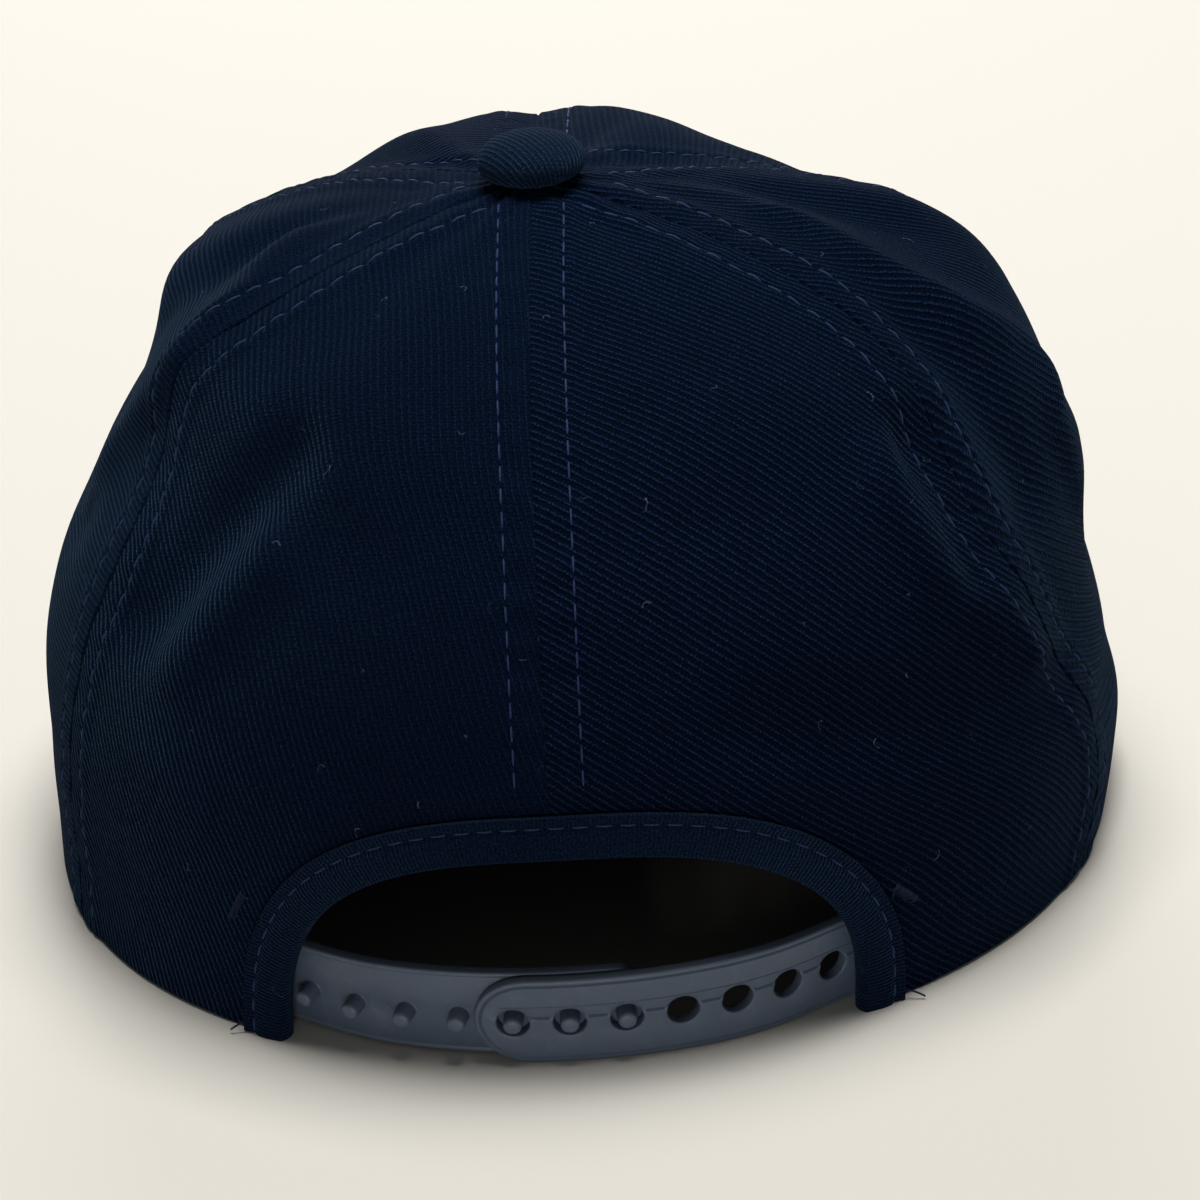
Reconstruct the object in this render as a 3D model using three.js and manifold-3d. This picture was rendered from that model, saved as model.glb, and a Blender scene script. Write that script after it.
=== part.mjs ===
import * as THREE from 'three';
import { mergeVertices } from 'three/addons/utils/BufferGeometryUtils.js';
import Module from 'manifold-3d';

// A six-panel cloth cap with a curved peak and a plastic snap strap across its rear opening.
// Millimetres, +Z up. +Y points to the peak and +X to the wearer's right.
// The origin is the middle of the head opening, and the rim stands on z = 0.
// A place on the crown is an angle from the back, positive to the right, and a rise from rim (0) to button (1).

// Cloth
const WALL = 1.3;
const HEM_WALL = 2.4;
const HEM_RISE = 0.08;
const HEM_FROM_DEG = 38;
const HEM_FULL_DEG = 46;
const GAP = 0.3;

// Crown: height of each section and its reach from the button's axis to the four sides
const SECTIONS = [
  { z: 0.0, left: 92.0, right: 95.0, back: 98.0, front: 97.0 },
  { z: 21.0, left: 91.8, right: 98.3, back: 100.5, front: 95.5 },
  { z: 43.0, left: 90.5, right: 94.2, back: 101.0, front: 93.5 },
  { z: 65.0, left: 82.3, right: 91.0, back: 97.5, front: 89.0 },
  { z: 85.0, left: 70.5, right: 83.8, back: 88.5, front: 80.5 },
  { z: 101.0, left: 61.8, right: 69.2, back: 71.0, front: 65.0 },
  { z: 112.5, left: 37.6, right: 38.6, back: 42.6, front: 40.6 },
  { z: 118.0, left: 5.0, right: 5.0, back: 5.0, front: 5.0 },
];
const FRONT_LIFT = 17;
const FRONT_LIFT_RISE = 0.6;
const CORNER = 0.009;
const CORNER_RISE = 0.3;

// The top of the crown lies behind the middle of the rim and is drawn up
const TOP_SHIFT = new THREE.Vector3(0.8, -18.8, 6.9);
const TOP_SHIFT_RISE = 0.5;

// Seams: angle from the back at equal steps of rise, in degrees
const SEAM_ANGLES = [
  { rearRight: 66.0, rearLeft: 66.0, front: 124.0 },
  { rearRight: 69.0, rearLeft: 66.0, front: 124.0 },
  { rearRight: 61.0, rearLeft: 65.0, front: 123.0 },
  { rearRight: 54.5, rearLeft: 63.5, front: 121.0 },
  { rearRight: 54.5, rearLeft: 65.0, front: 120.5 },
  { rearRight: 57.5, rearLeft: 59.5, front: 120.5 },
  { rearRight: 60.0, rearLeft: 60.0, front: 120.0 },
];

// Folds: each runs from one place to another, with its spread and its height (a valley is negative)
const FOLDS = [
  { fromDeg: 86, fromRise: 0.86, toDeg: 75, toRise: 0.785, spread: 6, height: 1.6 },
  { fromDeg: 72, fromRise: 0.7, toDeg: 83, toRise: 0.47, spread: 6, height: 2.2 },
  { fromDeg: 63, fromRise: 0.7, toDeg: 65, toRise: 0.48, spread: 5, height: -2.2 },
  { fromDeg: 92, fromRise: 0.82, toDeg: 95, toRise: 0.66, spread: 9, height: -2 },
  { fromDeg: 106, fromRise: 0.72, toDeg: 98, toRise: 0.64, spread: 12, height: 3.8 },
  { fromDeg: 98, fromRise: 0.57, toDeg: 94, toRise: 0.53, spread: 7, height: -1.4 },
  { fromDeg: 88, fromRise: 0.405, toDeg: 100, toRise: 0.405, spread: 6, height: 1 },
  { fromDeg: 88, fromRise: 0.33, toDeg: 106, toRise: 0.33, spread: 6, height: -1.7 },
  { fromDeg: 92, fromRise: 0.25, toDeg: 98, toRise: 0.25, spread: 6, height: -0.6 },
  { fromDeg: 74, fromRise: 0.17, toDeg: 100, toRise: 0.17, spread: 6, height: -1.8 },
  { fromDeg: 43, fromRise: 0.58, toDeg: 58, toRise: 0.32, spread: 5, height: 2.4 },
  { fromDeg: 50, fromRise: 0.6, toDeg: 52, toRise: 0.45, spread: 5, height: -2.4 },
  { fromDeg: 21, fromRise: 0.375, toDeg: 42, toRise: 0.32, spread: 5, height: -1.8 },
  { fromDeg: -38, fromRise: 0.66, toDeg: -54, toRise: 0.43, spread: 6, height: -2.2 },
  { fromDeg: -38, fromRise: 0.54, toDeg: -47, toRise: 0.4, spread: 5, height: 1.6 },
  { fromDeg: -80, fromRise: 0.84, toDeg: -70, toRise: 0.775, spread: 6, height: 1.6 },
  { fromDeg: -69, fromRise: 0.7, toDeg: -85, toRise: 0.48, spread: 6, height: 2 },
  { fromDeg: -86, fromRise: 0.81, toDeg: -88, toRise: 0.68, spread: 7, height: -1.8 },
  { fromDeg: -114, fromRise: 0.66, toDeg: -100, toRise: 0.74, spread: 12, height: 2.1 },
  { fromDeg: -102, fromRise: 0.6, toDeg: -98, toRise: 0.53, spread: 7, height: -0.8 },
  { fromDeg: -90, fromRise: 0.47, toDeg: -84, toRise: 0.45, spread: 6, height: -2.8 },
  { fromDeg: 122, fromRise: 0.88, toDeg: 130, toRise: 0.72, spread: 10, height: -2.5 },
  { fromDeg: 232, fromRise: 0.9, toDeg: 224, toRise: 0.74, spread: 9, height: -0.9 },
  { fromDeg: 150, fromRise: 0.86, toDeg: 169, toRise: 0.84, spread: 10, height: 2.8 },
  { fromDeg: 191, fromRise: 0.84, toDeg: 212, toRise: 0.86, spread: 10, height: 2.5 },
  { fromDeg: 144, fromRise: 0.78, toDeg: 140, toRise: 0.71, spread: 8, height: -1.3 },
  { fromDeg: 112, fromRise: 0.77, toDeg: 110, toRise: 0.72, spread: 8, height: -2.4 },
];
const FOLD_RADIUS = 80;
const FOLD_LENGTH = 165;
const FOLD_FADE_RISE = 0.08;

// Rear opening: the cloth edge that the binding covers
const ARCH_DEG = 30.9;
const ARCH_RISE = 0.266;
const ARCH_POWER = 2.5;
const TAPE = 0.8;
const TAPE_GAP = 0.5;
const TAPE_OUTER_WIDTH = 6.8;
const TAPE_INNER_WIDTH = 6.0;

// Peak
const PEAK_ROOT_DEG = 120;
const PEAK_SIDE_DEG = 114;
const PEAK_MIDDLE_X = 1.5;
const PEAK_MIDDLE_Y = 72;
const PEAK_HALF_WIDTH = 93.5;
const PEAK_REACH = 94;
const PEAK_SIDE_REACH = 60;
const PEAK_POWER = 2.15;
const PEAK_TIP_LIFT = 9;
const PEAK_THICK = 3.4;
const PEAK_GAP = 0.45;

// Strap
const STRAP_MIDDLE_X = 0;
const STRAP_MIDDLE_Y = -15.8;
const STRAP_RADIUS = 78;
const STRAP_HEIGHT = 16.6;
const STRAP_THICK = 2.1;
const STRAP_LEAN_DEG = 10;
const STRAP_TUCK_LEFT = 1.4;
const STRAP_TUCK_RIGHT = 2.1;
const STRAP_TUCK_DEG = 35;
const STRAP_TUCK_SPREAD_DEG = 9;
const STRAP_FLOOR_CLEAR = 0.1;
const SNAP_STEP_DEG = 6.42;
const SNAP_MIDDLE_DEG = 0.55;
const SNAP_HEIGHT = 8.0;
const SNAP_COUNT = 7;
const PEG_FIRST_STEP = -5;
const HOLE_FIRST_STEP = -1;
const PEG_RADIUS = 1.7;
const PEG_TIP_RADIUS = 1.4;
const PEG_LENGTH = 3.5;
const HOLE_RADIUS = 2.55;
const STRAP_END_STEPS = 0.68;
const STRAP_HIDDEN_DEG = 44.5;

// Button
const BUTTON_RADIUS = 9.1;
const BUTTON_HEIGHT = 7.2;
const BUTTON_STEM_RADIUS = 4.2;
const BUTTON_STEM_DEPTH = 2.6;
const BUTTON_CLEAR = 0.35;

// How finely the surfaces are divided
const RISE_STEPS = 17;
const ARCH_STEPS = 12;
const BACK_RIM_STEPS = 5;
const SIDE_STEPS = 12;
const FRONT_STEPS = 10;
const PEAK_STEPS = 22;
const PEAK_ROWS = 6;
const STRAP_STEPS = 20;
const STRAP_TIP_STEPS = 5;
const SNAP_SIDES = 12;
const BUTTON_SIDES = 28;

const wasm = await Module();
wasm.setup();

const radians = THREE.MathUtils.degToRad;
const mix = THREE.MathUtils.lerp;
const clamp = THREE.MathUtils.clamp;
const smooth = THREE.MathUtils.smoothstep;

// A power of a sine or cosine that keeps its sign, for rounded-square outlines
function rounded(value, power) {
  return Math.sign(value) * Math.abs(value) ** (2 / power);
}

// Smooth curve through one column of a table whose rows are evenly spaced from 0 to 1
function column(rows, key, at) {
  const last = rows.length - 1;
  const place = clamp(at, 0, 1) * last;
  const i = Math.min(Math.floor(place), last - 1);
  const f = place - i;
  const b = rows[i][key];
  const c = rows[i + 1][key];
  const a = i > 0 ? rows[i - 1][key] : 2 * b - c;
  const d = i < last - 1 ? rows[i + 2][key] : 2 * c - b;
  const cubic = 3 * (b - c) + d - a;
  const square = 2 * a - 5 * b + 4 * c - d;
  return b + 0.5 * f * (c - a + f * (square + f * cubic));
}

// The crown without its folds
function plainCrown(angle, rise) {
  const s = Math.sin(angle);
  const c = Math.cos(angle);
  const width = column(SECTIONS, s >= 0 ? 'right' : 'left', rise);
  const reach = column(SECTIONS, c >= 0 ? 'back' : 'front', rise);
  const low = clamp(1 - rise / CORNER_RISE, 0, 1) ** 2;
  const square = c > 0 ? 1 + CORNER * (1 - Math.cos(4 * angle)) * low : 1;
  const lifted = c < 0 ? FRONT_LIFT * c * c * clamp(1 - rise / FRONT_LIFT_RISE, 0, 1) ** 2 : 0;
  const z = column(SECTIONS, 'z', rise) + lifted;
  const shift = clamp((rise - TOP_SHIFT_RISE) / (1 - TOP_SHIFT_RISE), 0, 1) ** 2;
  return new THREE.Vector3(width * s * square, -reach * c * square, z).addScaledVector(TOP_SHIFT, shift);
}

// Height of the folds at a place
function relief(angle, rise) {
  let total = 0;
  for (const fold of FOLDS) {
    const ax = radians(fold.fromDeg) * FOLD_RADIUS;
    const ay = fold.fromRise * FOLD_LENGTH;
    const bx = radians(fold.toDeg) * FOLD_RADIUS - ax;
    const by = fold.toRise * FOLD_LENGTH - ay;
    for (const turn of [-2 * Math.PI, 0, 2 * Math.PI]) {
      const px = (angle + turn) * FOLD_RADIUS - ax;
      const py = rise * FOLD_LENGTH - ay;
      const along = clamp((px * bx + py * by) / (bx * bx + by * by), 0, 1);
      const off = (px - along * bx) ** 2 + (py - along * by) ** 2;
      total += fold.height * Math.exp(-off / (2 * fold.spread ** 2));
    }
  }
  const fromRim = clamp(rise / FOLD_FADE_RISE, 0, 1);
  const fromTop = clamp((1 - rise) / FOLD_FADE_RISE, 0, 1);
  return total * fromRim * fromTop;
}

// Outward normal of a surface given as a function of angle and rise
function outward(surface, angle, rise) {
  const step = 1e-3;
  const low = Math.max(rise - step, 0);
  const high = Math.min(rise + step, 1);
  const across = surface(angle + step, rise).sub(surface(angle - step, rise));
  const up = surface(angle, high).sub(surface(angle, low));
  return across.cross(up).normalize();
}

function crown(angle, rise) {
  const point = plainCrown(angle, rise);
  return point.addScaledVector(outward(plainCrown, angle, rise), relief(angle, rise));
}

// At the rim the wall is measured level, so that the cut edge lies in the rim's own plane
function wallNormal(angle, rise) {
  const normal = outward(crown, angle, rise);
  normal.z *= clamp(rise / FOLD_FADE_RISE, 0, 1);
  return normal.normalize();
}

function wallAt(angle, rise) {
  const off = Math.abs(THREE.MathUtils.radToDeg(Math.atan2(Math.sin(angle), Math.cos(angle))));
  const low = 1 - smooth(rise, 0, HEM_RISE);
  return WALL + (HEM_WALL - WALL) * low * smooth(off, HEM_FROM_DEG, HEM_FULL_DEG);
}

// A point at a depth outside (+) or inside (-) the crown's outer surface
function offsetCrown(angle, rise, depth) {
  return crown(angle, rise).addScaledVector(wallNormal(angle, rise), depth);
}

// Half a seam's gap as an angle
function seamInset(angle, rise) {
  const step = 1e-3;
  const turn = crown(angle + step, rise).distanceTo(crown(angle - step, rise)) / (2 * step);
  return GAP / 2 / turn;
}

function seam(name, rise) {
  if (name === 'rearCentre') {
    return 0;
  }
  if (name === 'frontCentreRight') {
    return Math.PI;
  }
  if (name === 'frontCentreLeft') {
    return -Math.PI;
  }
  if (name === 'frontRight') {
    return radians(column(SEAM_ANGLES, 'front', rise));
  }
  if (name === 'frontLeft') {
    return -radians(column(SEAM_ANGLES, 'front', rise));
  }
  const turn = radians(column(SEAM_ANGLES, name, rise));
  return name === 'rearLeft' ? -turn : turn;
}

// Angle at a fraction of the way between two seams, keeping half the gap at each
function between(low, high, rise, fraction) {
  const a = seam(low, rise);
  const b = seam(high, rise);
  return mix(a + seamInset(a, rise), b - seamInset(b, rise), fraction);
}

// The cloth edge of the rear opening, from its top (0) down to the rim (1)
function archEdge(fraction) {
  const turn = fraction * Math.PI / 2;
  return {
    angle: radians(ARCH_DEG) * rounded(Math.sin(turn), ARCH_POWER),
    rise: ARCH_RISE * rounded(Math.max(Math.cos(turn), 0), ARCH_POWER),
  };
}

// A back panel's grid starts on the opening's edge and the rim, and closes in to the button
function backPlace(step, fraction, rearSeam) {
  const onArch = step <= ARCH_STEPS;
  const edge = archEdge(onArch ? step / ARCH_STEPS : 1);
  const rimSeam = Math.abs(seam(rearSeam, 0));
  const rimAngle = mix(edge.angle, rimSeam, (step - ARCH_STEPS) / BACK_RIM_STEPS);
  const lowAngle = onArch ? edge.angle : rimAngle;
  const lowRise = onArch ? edge.rise : 0;
  const lowShare = lowAngle / Math.abs(seam(rearSeam, lowRise));
  const topShare = step / (ARCH_STEPS + BACK_RIM_STEPS);
  return {
    share: mix(lowShare, topShare, smooth(fraction, 0, 1)),
    rise: mix(lowRise, 1, fraction),
  };
}

// A closed solid between two matching grids: faces seen from the first grid's side turn anticlockwise
function shell(outer, inner) {
  const rows = outer.length;
  const cols = outer[0].length;
  const points = [...outer.flat(), ...inner.flat()];
  const shift = rows * cols;
  const at = (i, j) => i * cols + j;
  const index = [];
  const quad = (a, b, c, d) => index.push(a, b, c, a, c, d);
  for (let i = 0; i < rows - 1; i += 1) {
    for (let j = 0; j < cols - 1; j += 1) {
      quad(at(i, j), at(i, j + 1), at(i + 1, j + 1), at(i + 1, j));
      quad(shift + at(i + 1, j + 1), shift + at(i, j + 1), shift + at(i, j), shift + at(i + 1, j));
    }
  }
  // The two side edges are split along the same diagonal, so that neighbouring panels stay parallel
  const rim = [];
  for (let j = 0; j < cols - 1; j += 1) {
    rim.push(at(0, j));
  }
  for (let i = 0; i < rows - 1; i += 1) {
    rim.push(at(i, cols - 1));
  }
  for (let j = cols - 1; j > 0; j -= 1) {
    rim.push(at(rows - 1, j));
  }
  rim.forEach((a, k) => {
    const b = k + 1 < rim.length ? rim[k + 1] : at(rows - 1, 0);
    quad(b, a, shift + a, shift + b);
  });
  for (let i = rows - 1; i > 0; i -= 1) {
    const a = at(i, 0);
    const b = at(i - 1, 0);
    quad(a, shift + a, shift + b, b);
  }
  return solid(points, index);
}

function solid(points, index) {
  const geometry = new THREE.BufferGeometry();
  geometry.setAttribute('position', new THREE.Float32BufferAttribute(points.flatMap((p) => p.toArray()), 3));
  geometry.setIndex(index);
  geometry.computeVertexNormals();
  return geometry;
}

// A closed tube through matching rings of points, with flat ends
function sweep(rings) {
  const count = rings[0].length;
  const points = rings.flat();
  const index = [];
  for (let i = 0; i < rings.length - 1; i += 1) {
    for (let j = 0; j < count; j += 1) {
      const a = i * count + j;
      const b = i * count + (j + 1) % count;
      index.push(a, b + count, b, a, a + count, b + count);
    }
  }
  return { points, index, count };
}

function panelGrids(steps, place) {
  const outer = [];
  const inner = [];
  for (let i = 0; i <= RISE_STEPS; i += 1) {
    const outerRow = [];
    const innerRow = [];
    for (let j = 0; j <= steps; j += 1) {
      const { angle, rise } = place(j, i / RISE_STEPS);
      outerRow.push(crown(angle, rise));
      innerRow.push(offsetCrown(angle, rise, -wallAt(angle, rise)));
    }
    outer.push(outerRow);
    inner.push(innerRow);
  }
  return shell(outer, inner);
}

function plainPanel(low, high, steps) {
  return panelGrids(steps, (j, rise) => ({ angle: between(low, high, rise, j / steps), rise }));
}

function backPanel(side) {
  const steps = ARCH_STEPS + BACK_RIM_STEPS;
  const rearSeam = side > 0 ? 'rearRight' : 'rearLeft';
  return panelGrids(steps, (j, fraction) => {
    const { share, rise } = backPlace(side > 0 ? j : steps - j, fraction, rearSeam);
    const low = side > 0 ? 'rearCentre' : rearSeam;
    const high = side > 0 ? rearSeam : 'rearCentre';
    return { angle: between(low, high, rise, side > 0 ? share : 1 - share), rise };
  });
}

// Folded tape round the rear opening: its section is laid out in the crown's own surface
function bindingGeometry() {
  const rings = [];
  for (let k = -ARCH_STEPS; k <= ARCH_STEPS; k += 1) {
    const fraction = Math.abs(k) / ARCH_STEPS;
    const side = k < 0 ? -1 : 1;
    const edge = archEdge(fraction);
    const angle = edge.angle * side;
    const rise = edge.rise;
    const step = 1e-3;
    const normal = outward(crown, angle, rise);
    const byAngle = crown(angle + step, rise).sub(crown(angle - step, rise)).divideScalar(2 * step);
    const low = Math.max(rise - step, 0);
    const byRise = crown(angle, rise + step).sub(crown(angle, low)).divideScalar(rise + step - low);
    const before = archEdge(Math.max(fraction - step, 0));
    const after = archEdge(Math.min(fraction + step, 1));
    const run = byAngle.clone().multiplyScalar(after.angle - before.angle);
    run.addScaledVector(byRise, (after.rise - before.rise) * side).normalize();
    const into = normal.clone().cross(run);
    const aa = byAngle.dot(byAngle);
    const ab = byAngle.dot(byRise);
    const bb = byRise.dot(byRise);
    const ia = into.dot(byAngle);
    const ib = into.dot(byRise);
    const det = aa * bb - ab * ab;
    const perAngle = (ia * bb - ib * ab) / det;
    const perRise = (ib * aa - ia * ab) / det;
    const back = -wallAt(angle, rise) - TAPE_GAP;
    const corner = -TAPE_GAP - TAPE / 2;
    const section = [
      [TAPE_OUTER_WIDTH, TAPE_GAP],
      [-TAPE_GAP, TAPE_GAP],
      [-TAPE_GAP, back],
      [TAPE_INNER_WIDTH, back],
      [TAPE_INNER_WIDTH, back - TAPE],
      [corner, back - TAPE],
      [-TAPE_GAP - TAPE, (back + TAPE_GAP) / 2],
      [corner, TAPE_GAP + TAPE],
      [TAPE_OUTER_WIDTH, TAPE_GAP + TAPE],
    ];
    rings.push(section.map(([m, depth]) => offsetCrown(angle + perAngle * m, rise + perRise * m, depth)));
  }
  const { points, index, count } = sweep(rings);
  const end = (rings.length - 1) * count;
  const cap = [[0, 1, 7], [0, 7, 8], [1, 2, 6], [1, 6, 7], [2, 3, 4], [2, 4, 5], [2, 5, 6]];
  cap.forEach(([a, b, c]) => index.push(a, b, c, end + a, end + c, end + b));
  return solid(points, index);
}

// The peak: a plate from the front rim to a rounded outline, arched from side to side
function peakGeometry() {
  const topRise = PEAK_THICK / (SECTIONS[1].z * (SECTIONS.length - 1));
  const top = [];
  const bottom = [];
  for (let i = 0; i <= PEAK_ROWS; i += 1) {
    const topRow = [];
    const bottomRow = [];
    for (let j = 0; j <= PEAK_STEPS; j += 1) {
      const share = 2 * j / PEAK_STEPS - 1;
      const angle = Math.PI - share * radians(180 - PEAK_ROOT_DEG);
      const turn = share * radians(PEAK_SIDE_DEG);
      const reach = Math.cos(turn) > 0 ? PEAK_REACH : PEAK_SIDE_REACH;
      const edge = new THREE.Vector3(
        PEAK_MIDDLE_X + PEAK_HALF_WIDTH * rounded(Math.sin(turn), PEAK_POWER),
        PEAK_MIDDLE_Y + reach * rounded(Math.cos(turn), PEAK_POWER),
        PEAK_TIP_LIFT * Math.max(Math.cos(turn), 0) ** 2,
      );
      const f = i / PEAK_ROWS;
      const low = offsetCrown(angle, 0, PEAK_GAP);
      const high = offsetCrown(angle, topRise, PEAK_GAP);
      high.z = low.z + PEAK_THICK;
      low.lerp(edge, f);
      edge.z += PEAK_THICK;
      bottomRow.push(low);
      topRow.push(high.lerp(edge, f));
    }
    top.push(topRow);
    bottom.push(bottomRow);
  }
  return shell(top, bottom);
}

// A point on the leaning strap: turn round the strap's centre, height up its face, depth out of its inner face
function strapPoint(turn, height, depth) {
  const lean = radians(STRAP_LEAN_DEG);
  const most = turn < 0 ? STRAP_TUCK_LEFT : STRAP_TUCK_RIGHT;
  const fromTuck = (Math.abs(turn) - radians(STRAP_TUCK_DEG)) / radians(STRAP_TUCK_SPREAD_DEG);
  const tuck = most * Math.exp(-fromTuck * fromTuck);
  const radius = STRAP_RADIUS - tuck + depth * Math.cos(lean) + height * Math.sin(lean);
  const z = STRAP_FLOOR_CLEAR + STRAP_THICK * Math.sin(lean) * 2 + height * Math.cos(lean) - depth * Math.sin(lean);
  return new THREE.Vector3(
    STRAP_MIDDLE_X + radius * Math.sin(turn),
    STRAP_MIDDLE_Y - radius * Math.cos(turn),
    z,
  );
}

// A band with one square end and one full-round end
function strapBand(squareTurn, roundTurn, depth) {
  const round = STRAP_HEIGHT / 2;
  const sense = Math.sign(roundTurn - squareTurn);
  const roundStart = roundTurn - sense * round / (STRAP_RADIUS + depth);
  const stations = [];
  for (let k = 0; k <= STRAP_STEPS; k += 1) {
    stations.push({ turn: mix(squareTurn, roundStart, k / STRAP_STEPS), half: round });
  }
  for (let k = 1; k <= STRAP_TIP_STEPS; k += 1) {
    const tip = radians(80) * k / STRAP_TIP_STEPS;
    stations.push({ turn: mix(roundStart, roundTurn, Math.sin(tip)), half: round * Math.cos(tip) });
  }
  if (sense < 0) {
    stations.reverse();
  }
  const rowAt = (share, out) => stations.map(({ turn, half }) => strapPoint(turn, round + share * half, out));
  const outer = [-1, 0, 1].map((share) => rowAt(share, depth + STRAP_THICK));
  const inner = [-1, 0, 1].map((share) => rowAt(share, depth));
  return shell(outer, inner);
}

// A round bar standing out of the strap at one snap step
function snapBar(step, radius, tipRadius, from, to) {
  const turn = radians(SNAP_MIDDLE_DEG + step * SNAP_STEP_DEG);
  const start = strapPoint(turn, SNAP_HEIGHT, from);
  const end = strapPoint(turn, SNAP_HEIGHT, to);
  const geometry = new THREE.CylinderGeometry(tipRadius, radius, to - from, SNAP_SIDES);
  const axis = end.clone().sub(start).normalize();
  const turnTo = new THREE.Quaternion().setFromUnitVectors(new THREE.Vector3(0, 1, 0), axis);
  const middle = start.add(end).multiplyScalar(0.5);
  return geometry.applyMatrix4(new THREE.Matrix4().compose(middle, turnTo, new THREE.Vector3(1, 1, 1)));
}

function toManifold(geometry) {
  const bare = geometry.clone();
  bare.deleteAttribute('normal');
  bare.deleteAttribute('uv');
  const merged = mergeVertices(bare, 1e-4);
  return new wasm.Manifold(new wasm.Mesh({
    numProp: 3,
    vertProperties: Float32Array.from(merged.attributes.position.array),
    triVerts: Uint32Array.from(merged.index.array),
  }));
}

function fromManifold(body) {
  const mesh = body.getMesh();
  const geometry = new THREE.BufferGeometry();
  geometry.setAttribute('position', new THREE.BufferAttribute(new Float32Array(mesh.vertProperties), 3));
  geometry.setIndex(new THREE.BufferAttribute(new Uint32Array(mesh.triVerts), 1));
  geometry.computeVertexNormals();
  return geometry;
}

function snapSteps(first) {
  return Array.from({ length: SNAP_COUNT }, (_, k) => first + k);
}

function pegStrap() {
  const lastStep = PEG_FIRST_STEP + SNAP_COUNT - 1 + STRAP_END_STEPS;
  const end = radians(SNAP_MIDDLE_DEG + lastStep * SNAP_STEP_DEG);
  let body = toManifold(strapBand(-radians(STRAP_HIDDEN_DEG), end, 0));
  for (const step of snapSteps(PEG_FIRST_STEP)) {
    const tip = STRAP_THICK + PEG_LENGTH;
    body = body.add(toManifold(snapBar(step, PEG_RADIUS, PEG_TIP_RADIUS, STRAP_THICK / 2, tip)));
  }
  return fromManifold(body);
}

function holeStrap() {
  const depth = STRAP_THICK + GAP;
  const end = radians(SNAP_MIDDLE_DEG + (HOLE_FIRST_STEP - STRAP_END_STEPS) * SNAP_STEP_DEG);
  let body = toManifold(strapBand(radians(STRAP_HIDDEN_DEG), end, depth));
  for (const step of snapSteps(HOLE_FIRST_STEP)) {
    const bar = snapBar(step, HOLE_RADIUS, HOLE_RADIUS, depth - 1, depth + STRAP_THICK + 1);
    body = body.subtract(toManifold(bar));
  }
  return fromManifold(body);
}

// Cloth-covered button with a short stem in the ring where the panels meet
function buttonGeometry() {
  const seat = SECTIONS[SECTIONS.length - 1].z + BUTTON_CLEAR;
  const profile = [
    [0, seat - BUTTON_STEM_DEPTH],
    [BUTTON_STEM_RADIUS, seat - BUTTON_STEM_DEPTH],
    [BUTTON_STEM_RADIUS, seat],
    [BUTTON_RADIUS * 0.74, seat],
    [BUTTON_RADIUS * 0.92, seat + BUTTON_HEIGHT * 0.12],
    [BUTTON_RADIUS, seat + BUTTON_HEIGHT * 0.33],
    [BUTTON_RADIUS * 0.97, seat + BUTTON_HEIGHT * 0.54],
    [BUTTON_RADIUS * 0.85, seat + BUTTON_HEIGHT * 0.73],
    [BUTTON_RADIUS * 0.62, seat + BUTTON_HEIGHT * 0.89],
    [BUTTON_RADIUS * 0.32, seat + BUTTON_HEIGHT * 0.97],
    [0, seat + BUTTON_HEIGHT],
  ].map(([r, z]) => new THREE.Vector2(r, z));
  const lathe = new THREE.LatheGeometry(profile, BUTTON_SIDES);
  lathe.rotateX(Math.PI / 2);
  lathe.translate(TOP_SHIFT.x, TOP_SHIFT.y, TOP_SHIFT.z);
  return fromManifold(toManifold(lathe));
}

const cap = new THREE.Group();

function addPiece(name, geometry, colour, roughness) {
  const material = new THREE.MeshStandardMaterial({ color: colour, roughness, metalness: 0 });
  const mesh = new THREE.Mesh(geometry, material);
  mesh.name = name;
  cap.add(mesh);
}

const NAVY = 0x16202e;
const TAPE_NAVY = 0x121a28;
const STRAP_GREY = 0x363d47;
const CLOTH_ROUGHNESS = 0.92;
const PLASTIC_ROUGHNESS = 0.5;

addPiece('panel_front_left', plainPanel('frontCentreLeft', 'frontLeft', FRONT_STEPS), NAVY, CLOTH_ROUGHNESS);
addPiece('panel_front_right', plainPanel('frontRight', 'frontCentreRight', FRONT_STEPS), NAVY, CLOTH_ROUGHNESS);
addPiece('panel_side_left', plainPanel('frontLeft', 'rearLeft', SIDE_STEPS), NAVY, CLOTH_ROUGHNESS);
addPiece('panel_side_right', plainPanel('rearRight', 'frontRight', SIDE_STEPS), NAVY, CLOTH_ROUGHNESS);
addPiece('panel_back_left', backPanel(-1), NAVY, CLOTH_ROUGHNESS);
addPiece('panel_back_right', backPanel(1), NAVY, CLOTH_ROUGHNESS);
addPiece('button', buttonGeometry(), NAVY, CLOTH_ROUGHNESS);
addPiece('peak', peakGeometry(), NAVY, CLOTH_ROUGHNESS);
addPiece('arch_binding', bindingGeometry(), TAPE_NAVY, CLOTH_ROUGHNESS);
addPiece('strap_pegs', pegStrap(), STRAP_GREY, PLASTIC_ROUGHNESS);
addPiece('strap_holes', holeStrap(), STRAP_GREY, PLASTIC_ROUGHNESS);

export default cap;
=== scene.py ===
"""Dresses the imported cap: twill panels, topstitching, a bound rear opening, a snap strap and a stage."""

import math

import bpy
import numpy as np
from bpy.props import FloatProperty, FloatVectorProperty, PointerProperty
from mathutils import Matrix, Vector
from mathutils.geometry import delaunay_2d_cdt


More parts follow.
